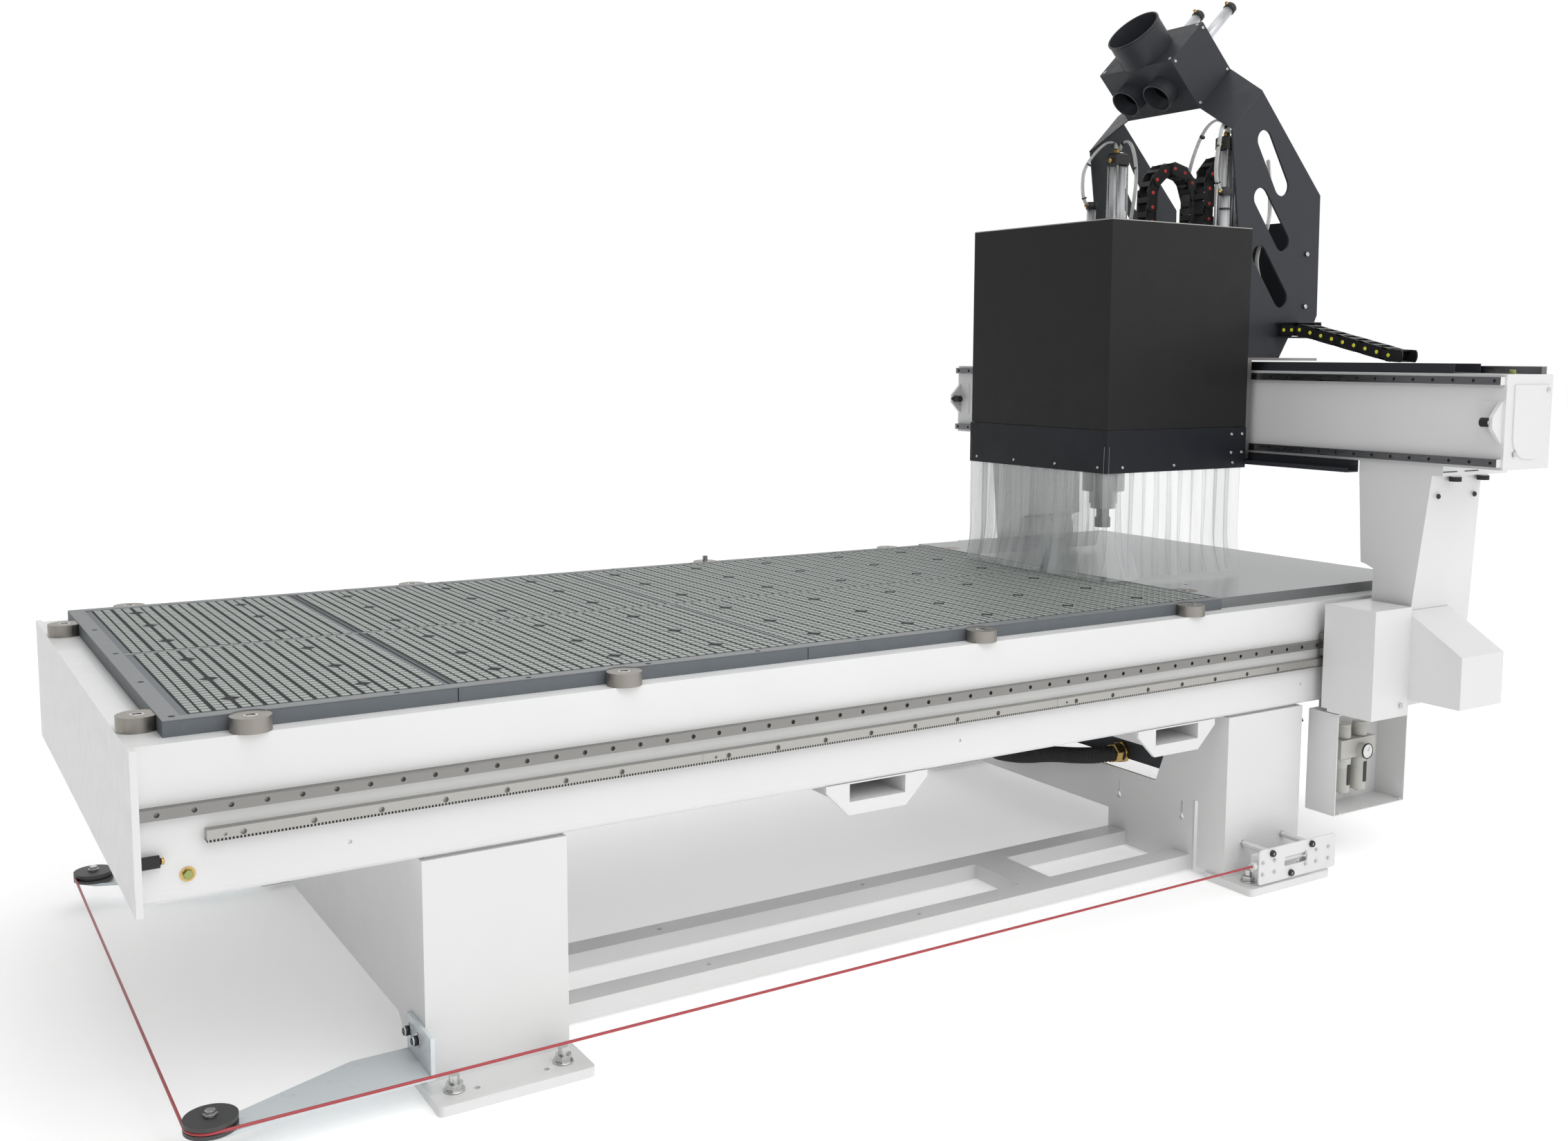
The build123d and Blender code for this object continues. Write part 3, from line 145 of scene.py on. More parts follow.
def stripes(tree, axis, pitch):
    """A smooth 0 to 1 ripple along an axis."""
    split = tree.nodes.new("ShaderNodeSeparateXYZ")
    tree.links.new(place(tree), split.inputs[0])
    turn = tree.nodes.new("ShaderNodeMath")
    turn.operation = "MULTIPLY"
    turn.inputs[1].default_value = 2 * math.pi / pitch
    tree.links.new(split.outputs[axis], turn.inputs[0])
    wave = tree.nodes.new("ShaderNodeMath")
    wave.operation = "SINE"
    tree.links.new(turn.outputs[0], wave.inputs[0])
    return spread(tree, wave.outputs[0], 0, 1, -0.4, 0.4), split


def above(tree, split, axis, level):
    step = tree.nodes.new("ShaderNodeMath")
    step.operation = "GREATER_THAN"
    step.inputs[1].default_value = level
    tree.links.new(split.outputs[axis], step.inputs[0])
    return step.outputs[0]


RACK_PITCH = 2 * math.pi / 1000        # module 2 teeth
RACK_TOOTH_TOP = 0.5705


def rack_steel():
    """Rack bar whose lower edge is striped like fine teeth, with painted shade in the gaps between them."""
    # gap is painted shade: near-black standing in for the shadow between the teeth
    colour, gap = (0.42, 0.41, 0.39), (0.03, 0.03, 0.03)
    mat, tree, surface = shader("rack_steel", colour, 0.36, metallic=0.9)
    ripple, split = stripes(tree, "X", RACK_PITCH)
    back = above(tree, split, "Z", RACK_TOOTH_TOP)
    tooth = tree.nodes.new("ShaderNodeMath")
    tooth.operation = "MAXIMUM"
    tree.links.new(ripple, tooth.inputs[0])
    tree.links.new(back, tooth.inputs[1])
    toothed = blend_colour(tree, tooth.outputs[0], gap, colour)
    tree.links.new(toothed, surface.inputs["Base Color"])
    bump(tree, surface, tooth.outputs[0], 0.002, 0.8)
    return mat


def hood_black():
    """Satin black sheet with a bluer band below and a lighter strip round the open top, partly worn bare
    edge and partly a painted highlight.
    """
    colour, band = (0.013, 0.013, 0.013), (0.011, 0.013, 0.018)
    mat, tree, surface = shader("hood_black", colour, 0.42)
    surface.inputs["Specular IOR Level"].default_value = DARK_SHINE
    split = tree.nodes.new("ShaderNodeSeparateXYZ")
    tree.links.new(place(tree), split.inputs[0])
    # the lighter top strip is partly worn metal and partly a painted highlight on the sheet's edge
    edge = above(tree, split, "Z", HOOD[1].z - EDGE_WEAR_AND_HIGHLIGHT)
    body = above(tree, split, "Z", BAND_TOP)
    rimmed = blend_colour(tree, edge, colour, (0.35, 0.35, 0.34))
    tones = blend_colour(tree, body, band, colour)
    tree.links.new(tones, rimmed.node.inputs[MIX_FIRST])
    tree.links.new(rimmed, surface.inputs["Base Color"])
    tree.links.new(spread(tree, noise(tree, 14), 0.36, 0.5), surface.inputs["Roughness"])
    bump(tree, surface, noise(tree, 1100, 2), 0.00015, 0.35)
    return mat


def clear_sheet(name, colour, alpha, roughness):
    """See-through plastic with upright streaks."""
    mat, tree, surface = shader(name, colour, roughness, coat=0.6, alpha=alpha)
    streak = noise(tree, 12, 3, (1, 1, 0.12))
    tree.links.new(blend_colour(tree, streak, shade(colour, 0.75), colour), surface.inputs["Base Color"])
    tree.links.new(spread(tree, streak, alpha * 0.6, min(1, alpha * 1.5)), surface.inputs["Alpha"])
    bump(tree, surface, noise(tree, 9, 2, (1, 1, 0.25)), 0.004, 0.5)
    return mat


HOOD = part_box("hood")
# the last value is the height of the hood's top strip of worn metal and painted highlight
DARK_SHINE, BAND_TOP, EDGE_WEAR_AND_HIGHLIGHT = 0.24, 1.2049, 0.0025
WHITE = painted("white_paint", (0.745, 0.75, 0.745))
COOL_WHITE = painted("cool_white_paint", (0.70, 0.76, 0.78), 0.3)
BLACK = painted("black_sheet", (0.034, 0.037, 0.043), 0.42, coat=0)
BLACK.node_tree.nodes["Principled BSDF"].inputs["Specular IOR Level"].default_value = DARK_SHINE
TABLE_EDGE = moulded("table_slate", (0.125, 0.14, 0.155), 0.55)
TABLE_TILE = moulded("table_tile", (0.34, 0.37, 0.35), 0.5)
GROOVE = moulded("groove_shadow", (0.012, 0.012, 0.016), 0.8)
PLATE_GREY = moulded("loading_grey", (0.17, 0.175, 0.18), 0.3, coat=0.2)
RAIL = metal("rail_steel", (0.30, 0.295, 0.285), 0.34, (0.04, 1, 1))
BEAM_RAIL = metal("beam_rail_steel", (0.22, 0.22, 0.23), 0.3, (1, 0.04, 1))
HOUSING = metal("housing_steel", (0.36, 0.34, 0.31), 0.42, (1, 1, 0.3), 160)
STEEL = metal("gear_steel", (0.46, 0.45, 0.43), 0.28)
ZINC = metal("zinc_plate", (0.66, 0.67, 0.66), 0.25)
GREEN_ZINC = metal("olive_plate", (0.36, 0.40, 0.16), 0.3)
BRASS = metal("brass", (0.66, 0.45, 0.16), 0.25)
BARREL = metal("cylinder_aluminium", (0.74, 0.75, 0.77), 0.46, (1, 1, 0.03))
HEAD = metal("head_metal", (0.34, 0.33, 0.32), 0.36)
TOOL = metal("tool_dark", (0.09, 0.09, 0.10), 0.3)
CHAIN = moulded("chain_plastic", (0.012, 0.012, 0.013), 0.42)
MOTOR = moulded("motor_black", (0.02, 0.02, 0.022), 0.45)
RUBBER = moulded("black_rubber", (0.018, 0.018, 0.018), 0.7)
PULLEY = moulded("pulley_grey", (0.06, 0.062, 0.06), 0.5)
RED_DOT = moulded("red_dot", (0.62, 0.05, 0.04), 0.35)
YELLOW_DOT = moulded("yellow_dot", (0.80, 0.78, 0.06), 0.35)
WIRE = moulded("wire_red", (0.42, 0.03, 0.04), 0.4, coat=0.4)
REGULATOR = moulded("regulator_plastic", (0.52, 0.51, 0.47), 0.35, coat=0.3)
DIAL = moulded("dial_white", (0.8, 0.8, 0.78), 0.35)
CLEAR = clear_sheet("clear_pvc", (0.70, 0.73, 0.73), 0.30, 0.1)
STRIP_EDGE = clear_sheet("clear_pvc_edge", (0.46, 0.49, 0.50), 0.42, 0.12)
TUBE = clear_sheet("clear_tube", (0.78, 0.79, 0.76), 0.62, 0.2)

CARRIED = {
    WHITE: ["bed_frame", "side_covers", "end_panels", "left_leg_portal", "right_leg_portal", "foot_plates",
            "tie_frame", "fork_pockets", "air_service_box", "rope_switch", "gantry_beam", "beam_end_caps",
            "gantry_legs", "drive_covers"],
    COOL_WHITE: ["pulley_arms"],
    BLACK: ["vacuum_manifold", "cable_tray", "tower", "dust_box"],
    hood_black(): ["hood"],
    TABLE_EDGE: ["vacuum_table"],
    PLATE_GREY: ["loading_plate"],
    RAIL: ["x_rails", "x_bearing_blocks", "y_bearing_blocks"],
    rack_steel(): ["x_racks"],
    BEAM_RAIL: ["beam_rails", "beam_rack"],
    HOUSING: ["pin_housings"],
    STEEL: ["near_x_pinion", "far_x_pinion", "y_pinion", "near_pins", "far_pins", "end_pins", "raised_pin"],
    ZINC: ["levelling_bolts"],
    HEAD: ["carriage_plate", "spindle_head", "drill_head", "near_blast_gate", "far_blast_gate"],
    TOOL: ["tool_holder"],
    CHAIN: ["tray_chain"],
    MOTOR: ["x_motors", "y_motor"],
    PULLEY: ["near_pulley", "far_pulley"],
    RUBBER: ["travel_bumpers", "beam_fasteners", "vacuum_hose", "coiled_air_tube"],
    REGULATOR: ["air_regulator"],
    WIRE: ["trip_wire"],
    BARREL: ["gate_cylinders", "lift_cylinders"],
}
for material, names in CARRIED.items():
    for name in names:
        data = nodes[name].data
        data.materials.clear()
        data.materials.append(material)


# ---------------------------------------------------------------- mesh tools
class Shape:
    """Collects the faces of one piece, each with a material, and makes the object."""

    def __init__(self):
        self.mesh = bmesh.new()
        self.materials = []

    def paint(self, faces, material):
        if material not in self.materials:
            self.materials.append(material)
        for face in faces:
            face.material_index = self.materials.index(material)

    def loft(self, rings, material, closed=True, capped=True, smooth=False):
        """Skins a row of point rings."""
        rows = [[self.mesh.verts.new(p) for p in ring] for ring in rings]
        faces = []
        count = len(rows[0])
        for a, b in zip(rows[:-1], rows[1:]):
            for i in range(count if closed else count - 1):
                j = (i + 1) % count
                faces.append(self.mesh.faces.new((a[i], a[j], b[j], b[i])))
        for face in faces:
            face.smooth = smooth
        if capped:
            faces.append(self.mesh.faces.new(rows[0][::-1]))
            faces.append(self.mesh.faces.new(rows[-1]))
        self.paint(faces, material)

    def box(self, low, high, material, bevel=0.0):
        """A box with chamfered upright edges and rims."""
        (x0, y0, z0), (x1, y1, z1) = low, high
        b = min(bevel, (x1 - x0) / 3, (y1 - y0) / 3, (z1 - z0) / 3)

        def ring(z, inset):
            a0, a1, c0, c1 = x0 + inset, x1 - inset, y0 + inset, y1 - inset
            if not b:
                return [(a0, c0, z), (a1, c0, z), (a1, c1, z), (a0, c1, z)]
            return [(a0 + b, c0, z), (a1 - b, c0, z), (a1, c0 + b, z), (a1, c1 - b, z),
                    (a1 - b, c1, z), (a0 + b, c1, z), (a0, c1 - b, z), (a0, c0 + b, z)]
        if b:
            rings = [ring(z0, b), ring(z0 + b, 0), ring(z1 - b, 0), ring(z1, b)]
        else:
            rings = [ring(z0, 0), ring(z1, 0)]
        self.loft(rings, material)

    def lathe(self, start, axis, profile, material, sides=20, capped=True):
        """Turns (distance along the axis, radius) steps about the axis."""
        axis = Vector(axis).normalized()
        side = axis.orthogonal().normalized()
        other = axis.cross(side)
        rings = []
        for along, radius in profile:
            middle = Vector(start) + axis * along
            rings.append([middle + (side * math.cos(a) + other * math.sin(a)) * radius
                          for a in (2 * math.pi * k / sides for k in range(sides))])
        self.loft(rings, material, capped=capped, smooth=sides > 8)

    def screw(self, at, axis, radius, material, height=None):
        """A domed screw head with a socket recess."""
        h = height or radius * 0.6
        profile = [(-0.001, radius), (h * 0.55, radius), (h * 0.9, radius * 0.8), (h, radius * 0.5),
                   (h * 0.6, radius * 0.45)]
        self.lathe(at, axis, profile, material, 12)

    def prism(self, points, offset, material):
        """Extrudes a polygon of points by an offset vector."""
        self.loft([points, [Vector(p) + Vector(offset) for p in points]], material)

    def done(self, name, body, replaces=()):
        bmesh.ops.recalc_face_normals(self.mesh, faces=self.mesh.faces)
        data = bpy.data.meshes.new(name)
        self.mesh.to_mesh(data)
        self.mesh.free()
        for material in self.materials:
            data.materials.append(material)
        return mount(bpy.data.objects.new(name, data), body, replaces)


def mount(piece, body, replaces=()):
    bpy.context.scene.collection.objects.link(piece)
    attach(piece, body)
    if replaces:
        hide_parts(*replaces)
    return piece


def smooth_curve(name, points, steps):
    """A smooth curve along its points, with a number of steps between them."""
    curve = bpy.data.curves.new(name, "CURVE")
    curve.dimensions = "3D"
    curve.resolution_u = steps
    spline = curve.splines.new("NURBS")
    spline.points.add(len(points) - 1)
    for point, spot in zip(spline.points, points):
        point.co = (*spot, 1)
    spline.order_u = 3
    spline.use_endpoint_u = True
    return curve


def cable(name, points, radius, material, body, replaces=()):
    """A smooth round tube that follows its points."""
    curve = smooth_curve(name, points, 8)
    curve.bevel_depth = radius
    curve.bevel_resolution = 3
    curve.use_fill_caps = True
    curve.materials.append(material)
    return mount(bpy.data.objects.new(name, curve), body, replaces)


def mixed(a, b, share):
    return a + (b - a) * share


# ---------------------------------------------------------------- vacuum table
UPRIGHT = (0, 0, 1)
TILE, GROOVE_W, ROW_GROOVE, TILE_RISE = 0.022, 0.0042, 0.0065, 0.0018
WIDE_GROOVE = GROOVE_W * 1.9        # every other groove across the table
SEAMS = (-1.177, -0.390)
STAR_X0, STAR_PITCH_X, STAR_Y0, STAR_PITCH_Y = -1.566, 0.254, 0.120, 0.210
STAR_COLUMNS, STAR_ROWS = 11, 3     # along the bed, and on each side of its middle
STAR_CUT, TILE_CORNER = 0.0145, 0.0012
HOUSING_X, HOUSING_Y, NOTCH = (-1.560, -0.841, 0.075, 0.765), 0.686, 0.0365
RIM, LEFT_RIM, RIGHT_RIM = 0.031, 0.034, 0.006       # widths of the border strips


def star_rows(low, high):
    """Tile corners where a vacuum star opens, as tile indices from a zone's corner."""
    (x0, y0), (x1, y1) = low, high
    found = set()
    for i in range(STAR_COLUMNS):
        for j in range(STAR_ROWS):
            for side in (-1, 1):
                x, y = STAR_X0 + i * STAR_PITCH_X, side * (STAR_Y0 + j * STAR_PITCH_Y)
                if x0 + TILE < x < x1 - TILE and y0 + TILE < y < y1 - TILE:
                    found.add((round((x - x0) / TILE), round((y - y0) / TILE)))
    return found


def tile_outline(x0, y0, x1, y1, cuts):
    """One tile's outline, with a chamfer at each corner that meets a star."""
    corners = [(x0, y0, 1, 1), (x1, y0, -1, 1), (x1, y1, -1, -1), (x0, y1, 1, -1)]
    outline = []
    for (x, y, sx, sy), cut in zip(corners, cuts):
        depth = STAR_CUT if cut else TILE_CORNER
        first, second = (x, y + sy * depth), (x + sx * depth, y)
        outline += [first, second] if sx == sy else [second, first]
    return outline


def table_grid():
    low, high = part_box("vacuum_table")
    top = high.z
    grid = Shape()
    xs = [low.x + LEFT_RIM, *SEAMS, high.x - RIGHT_RIM]
    for x0, x1 in zip(xs[:-1], xs[1:]):
        for y0, y1 in ((low.y + RIM, -0.005), (0.005, high.y - RIM)):
            a, b = x0 + 0.005, x1 - 0.005
            across, along = int((b - a) / TILE), int((y1 - y0) / TILE)
            a += ((b - a) - across * TILE) / 2
            y0 += ((y1 - y0) - along * TILE) / 2
            far_x, far_y = a + across * TILE, y0 + along * TILE
            grid.box((a, y0, top - 0.001), (far_x, far_y, top + 0.0003), GROOVE, 0.0003)
            stars = star_rows((a, y0), (far_x, far_y))
            for i in range(across):
                gap = GROOVE_W if i % 2 else WIDE_GROOVE
                next_gap = GROOVE_W if (i + 1) % 2 else WIDE_GROOVE
                for j in range(along):
                    tx0, tx1 = a + i * TILE + gap / 2, a + (i + 1) * TILE - next_gap / 2
                    ty0, ty1 = y0 + j * TILE + ROW_GROOVE / 2, y0 + (j + 1) * TILE - ROW_GROOVE / 2
                    cuts = [(i + u, j + v) in stars for u, v in ((0, 0), (1, 0), (1, 1), (0, 1))]
                    outline = tile_outline(tx0, ty0, tx1, ty1, cuts)
                    base = [(x, y, top + 0.0002) for x, y in outline]
                    grid.loft([base, [(x, y, top + TILE_RISE) for x, y in outline]], TABLE_TILE)
    grid.done("table_grid", "base")

    border = Shape()
    lip = top + TILE_RISE
    frame_grey = moulded("table_border", (0.20, 0.21, 0.215), 0.5)

    def notched_edge(y_out):
        """The outer edge of a long border strip, with half-round notches for the pin housings."""
        side = 1 if y_out > 0 else -1
        outer = [(low.x, y_out)]
        for x in HOUSING_X:
            middle_y = side * HOUSING_Y
            reach = math.sqrt(NOTCH ** 2 - (abs(middle_y) - abs(y_out)) ** 2)
            for k in range(9):
                px = x - reach + 2 * reach * k / 8
                depth = math.sqrt(max(0, NOTCH ** 2 - (px - x) ** 2))
                outer.append((px, middle_y - side * depth))
        outer.append((high.x, y_out))
        return outer

    floor_z = top - 0.0005
    for y_out, inner_y in ((low.y, low.y + RIM), (high.y, high.y - RIM)):
        outer = notched_edge(y_out)
        for (xa, ya), (xb, yb) in zip(outer[:-1], outer[1:]):
            quad = [(xa, ya), (xb, yb), (xb, inner_y), (xa, inner_y)]
            border.prism([(x, y, floor_z) for x, y in quad], (0, 0, TILE_RISE + 0.0005), frame_grey)
    near_y, far_y = low.y + RIM, high.y - RIM
    crossings = [(low.x, low.x + LEFT_RIM), (high.x - RIGHT_RIM, high.x)]
    crossings += [(x - 0.004, x + 0.004) for x in SEAMS]
    for x0, x1 in crossings:
        border.box((x0, near_y, floor_z), (x1, far_y, lip), frame_grey, 0.0004)
    for shift in (-0.0026, 0.0026):
        line = SEAMS[0] + shift
        border.box((line - 0.0012, near_y, lip - 0.0005), (line + 0.0012, far_y, lip + 0.0002), GROOVE)
    spine = (low.x + LEFT_RIM, -0.003, floor_z), (high.x - RIGHT_RIM, 0.003, lip + 0.0001)
    border.box(*spine, TABLE_TILE, 0.0004)
    holes = [(low.x + 0.020, y) for y in (-0.635, -0.307, 0.018, 0.342)]
    holes += [(low.x + 0.15 + 0.26 * k, side * 0.652) for k in range(10) for side in (-1, 1)
              if min(abs(low.x + 0.15 + 0.26 * k - x) for x in HOUSING_X) > 0.06]
    hole = [(0, 0.0065), (0.0003, 0.006), (0.0004, 0.002)]
    for x, y in holes:
        border.lathe((x, y, lip - 0.0002), UPRIGHT, hole, GROOVE, 16)
    border.done("table_border", "base")


table_grid()


# ---------------------------------------------------------------- strip curtain
STRIP_SHARES = (0, 0.06, 0.26, 0.5, 0.74, 0.94, 1)      # columns across a strip, with narrow edges
STRIP_ROWS = 15
KICK_FROM = 0.72            # share of the drop where a strip starts to kick out


def strip_curtain():
    """Overlapping clear strips that hang from the band, ripple and kick out at the table."""
    low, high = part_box("strip_curtain")
    curtain = Shape()
    width, step = 0.066, 0.050
    bottom = low.z - 0.008

    def hang(start, along, out, length):
        count = round(length / step)
        for k in range(count + 1):
            middle = start + along * (length * k / count)
            swing, phase = random.uniform(-0.006, 0.009), random.uniform(0, 6.28)
            kick = random.uniform(0.004, 0.042)
            twist = random.uniform(-0.2, 0.2)
            rows = []
            for r in range(STRIP_ROWS):
                down = r / (STRIP_ROWS - 1)
                z = mixed(high.z, bottom + random.uniform(0, 0.002), down)
                kicked = kick * max(0, down - KICK_FROM) ** 1.6 * 6
                sway = swing * math.sin(phase + 4.2 * down) * down + kicked
                layer = 0.0016 if k % 2 else -0.0016
                row = []
                for share in STRIP_SHARES:
                    across = (share - 0.5) * width
                    bow = 0.0035 * math.cos(math.pi * (share - 0.5)) * (0.3 + down)
                    sideways = along * (across + twist * 0.02 * down)
                    outward = out * (layer + sway + bow + twist * across * down)
                    row.append(middle + sideways + outward + Vector((0, 0, z - middle.z)))
                rows.append(row)
            for first, last, material in ((0, 2, STRIP_EDGE), (1, -1, CLEAR), (-2, None, STRIP_EDGE)):
                part = [row[first:last] for row in rows]
                curtain.loft(part, material, closed=False, capped=False, smooth=True)

    front = Vector((low.x + 0.004, low.y + 0.028, 0))
    hang(front, Vector((0, 1, 0)), Vector((-1, 0, 0)), high.y - low.y - 0.056)
    for y, side in ((low.y + 0.004, -1), (high.y - 0.004, 1)):
        hang(Vector((low.x + 0.028, y, 0)), Vector((1, 0, 0)), Vector((0, side, 0)), high.x - low.x - 0.060)
    curtain.done("clear_strips", "carriage", ["strip_curtain"])


strip_curtain()


# ---------------------------------------------------------------- hood and tower screws
CARRIAGE_Y = -0.022         # the carriage's middle across the machine


def hood_screws():
    low, high = HOOD
    screws = Shape()
    foot = low.z + 0.016
    for y in (low.y + 0.035, low.y + 0.215, low.y + 0.40, high.y - 0.035):
        screws.screw((low.x, y, foot), (-1, 0, 0), 0.0045, ZINC)
    for side_y, out in ((low.y, -1), (high.y, 1)):
        for x in (low.x + 0.060, low.x + 0.260, high.x - 0.055):
            screws.screw((x, side_y, foot), (0, out, 0), 0.0045, ZINC)
        for z in (0.046, 0.100):
            for inset in (0.062, 0.018):
                screws.screw((high.x - inset, side_y, low.z + z), (0, out, 0), 0.005, ZINC)
        for z in (1.564, 1.720):
            screws.screw((1.587, CARRIAGE_Y + out * 0.304, z), (0, out, 0), 0.007, ZINC)
    screws.done("sheet_screws", "carriage")


hood_screws()


# ---------------------------------------------------------------- drag chains
PLATE = 0.004               # thickness of a link's side plate
ARCH_PITCH = 0.043          # distance between pivots, before it is fitted to the arch


def chain_links(shape, pivots, across, half_width, height, dot):
    """Side plates, cross bars and pivot dots along a row of pivots."""
    across = Vector(across)
    for k, (a, b) in enumerate(zip(pivots[:-1], pivots[1:])):
        ahead = (b - a).normalized()
        up = across.cross(ahead)
        reach = height / 2
        outline = []
        for centre, sign in ((a, -1), (b, 1)):
            for turn in (-60, -30, 0, 30, 60):
                angle = math.radians(turn)
                outline.append(centre + ahead * (sign * math.cos(angle) * reach * 0.7)
                               + up * (math.sin(angle) * reach * sign * 1.1))
        step = 0.004 if k % 2 else 0.0
        for side in (-1, 1):
            offset = across * (side * (half_width - PLATE - step))
            shape.prism([p + offset for p in outline], across * (side * PLATE), CHAIN)
            start = a + across * (side * (half_width - 0.001))
            shape.lathe(start, across * side, [(-0.002, 0.0056), (0.0012, 0.0056), (0.0018, 0.004)], dot, 14)
        middle = (a + b) / 2
        for level in (-1, 1):
            edge = middle + up * (level * (reach - 0.003)) - across * (half_width - PLATE)
            quad = [edge + ahead * s * 0.008 + up * t * 0.0022
                    for s, t in ((-1, -1), (1, -1), (1, 1), (-1, 1))]
            shape.prism(quad, across * (2 * half_width - 2 * PLATE), CHAIN)


def arch_pivots(front, rear, y, low, top):
    """Pivots up the front leg, over the half circle and down the rear leg."""
    radius = (rear - front) / 2
    crown = top - radius - 0.014
    straight, bend = crown - low, math.pi * radius
    count = round((2 * straight + bend) / ARCH_PITCH)
    pivots = []
    for k in range(count + 1):
        along = (2 * straight + bend) * k / count
        if along < straight:
            pivots.append(Vector((front, y, low + along)))
        elif along < straight + bend:
            angle = math.pi - (along - straight) / radius
            x = front + radius + radius * math.cos(angle)
            pivots.append(Vector((x, y, crown + radius * math.sin(angle))))
        else:
            pivots.append(Vector((rear, y, crown - (along - straight - bend))))
    return pivots


def hood_chains():
    arches = Shape()
    for front, rear, y, top in ((1.165, 1.345, -0.075, 1.985), (1.268, 1.430, -0.204, 2.003)):
        chain_links(arches, arch_pivots(front, rear, y, 1.682, top), (0, 1, 0), 0.024, 0.040, RED_DOT)
        arches.box((front - 0.018, y - 0.028, 1.656), (rear + 0.018, y + 0.028, 1.668), MOTOR, 0.002)
        for x in (front, rear):
            arches.box((x - 0.014, y - 0.024, 1.668), (x + 0.014, y + 0.024, 1.690), MOTOR, 0.003)
        arches.box((front - 0.020, y - 0.026, 1.752), (front + 0.020, y + 0.026, 1.806), MOTOR, 0.003)
    arches.box((1.330, -0.232, 1.640), (1.425, -0.047, 1.656), MOTOR, 0.002)
    arches.box((1.347, -0.232, 1.600), (1.367, -0.047, 1.640), MOTOR, 0.002)
    arches.done("hood_drag_chains", "carriage", ["hood_chains"])


def beam_chain():
    """Chain from the carriage down its slope to the tray, with its bracket."""
    run = Shape()
    start, knee = Vector((1.500, -0.352, 1.4915)), Vector((1.500, -0.410, 1.4915))
    slope = Vector((1.500, -0.722, 1.4180)) - knee
    pivots = [start + (knee - start) * k / 2 for k in range(3)]
    pivots += [knee + slope * k / 8 for k in range(1, 9)]
    pivots.append(Vector((1.500, -0.756, 1.4160)))
    chain_links(run, pivots, (1, 0, 0), 0.034, 0.036, YELLOW_DOT)
    run.box((1.460, -0.410, 1.468), (1.564, -0.325, 1.472), BLACK, 0.001)
    run.box((1.460, -0.410, 1.511), (1.564, -0.325, 1.515), BLACK, 0.001)
    run.box((1.560, -0.410, 1.472), (1.564, -0.325, 1.511), BLACK, 0.001)
    run.done("beam_drag_chain", "carriage", ["carriage_chain"])


hood_chains()
beam_chain()


# ---------------------------------------------------------------- cylinders and air tubes
LIFTS = ((1.300, -0.262), (1.300, 0.198))
SMALL_LIFTS = ((1.256, -0.298), (1.240, 0.250))
CAP_TOP, CAP_DEPTH = 2.050, 0.042


def lift_cylinders():
    rams = Shape()
    rams.box((1.262, -0.313, 1.608), (1.347, 0.269, 1.620), HEAD, 0.001)
    for x, y in LIFTS:
        profile = []
        for k in range(48):
            angle = 2 * math.pi * k / 48
            dent = 0.0022 if k % 12 in (0, 1) else 0.0
            profile.append((x + (0.026 - dent) * math.cos(angle), y + (0.026 - dent) * math.sin(angle)))
        rings = [[(px, py, z) for px, py in profile] for z in (1.646, CAP_TOP - CAP_DEPTH)]
        rams.loft(rings, BARREL, smooth=True)
        for sx in (-1, 1):
            for sy in (-1, 1):
                foot = (x + sx * 0.0215, y + sy * 0.0215, 1.640)
                rams.lathe(foot, UPRIGHT, [(0, 0.003), (0.372, 0.003)], ZINC, 8)
        rams.box((x - 0.028, y - 0.028, 1.620), (x + 0.028, y + 0.028, 1.648), MOTOR, 0.004)
        rams.box((x - 0.028, y - 0.028, CAP_TOP - CAP_DEPTH), (x + 0.028, y + 0.028, CAP_TOP), MOTOR, 0.006)
        top_port = [(0, 0.010), (0.012, 0.010), (0.016, 0.007)]
        side_port = [(0, 0.008), (0.008, 0.008), (0.012, 0.005)]
        rams.lathe((x - 0.006, y, CAP_TOP - 0.002), UPRIGHT, top_port, BRASS, 6)
        rams.lathe((x - 0.026, y, CAP_TOP - 0.024), (-1, 0, 0), side_port, BRASS, 6)
    for x, y in SMALL_LIFTS:
        barrel = [(0, 0.016), (0.018, 0.016), (0.019, 0.0145), (0.222, 0.0145)]
        band = [(0, 0.0152), (0.001, 0.0158), (0.004, 0.0158), (0.005, 0.0152)]
        cap = [(0, 0.015), (0.002, 0.018), (0.020, 0.018), (0.024, 0.014)]
        rams.lathe((x, y, 1.653), UPRIGHT, barrel, BARREL, 24)
        for z in (1.770, 1.835):
            rams.lathe((x, y, z), UPRIGHT, band, CHAIN, 24)
        rams.lathe((x, y, 1.875), UPRIGHT, cap, MOTOR, 20)
        rams.lathe((x - 0.015, y, 1.887), (-1, 0, 0), [(0, 0.006), (0.010, 0.006), (0.013, 0.004)], BRASS, 6)
        edge = y + 0.02 * (-1 if y < 0 else 1)
        rams.box((1.228, min(y, edge) - 0.003, 1.643), (1.289, max(y, edge), 1.653), MOTOR, 0.001)
    rams.box((1.120, 0.030, 1.700), (1.196, 0.092, 1.800), BARREL, 0.004)
    rams.box((1.110, 0.022, 1.800), (1.206, 0.100, 1.828), MOTOR, 0.004)
    rams.lathe((1.206, 0.060, 1.814), (1, 0, 0), [(0, 0.010), (0.018, 0.010), (0.024, 0.006)], BRASS, 6)
    rams.done("lift_rams", "carriage", ["lift_cylinders"])


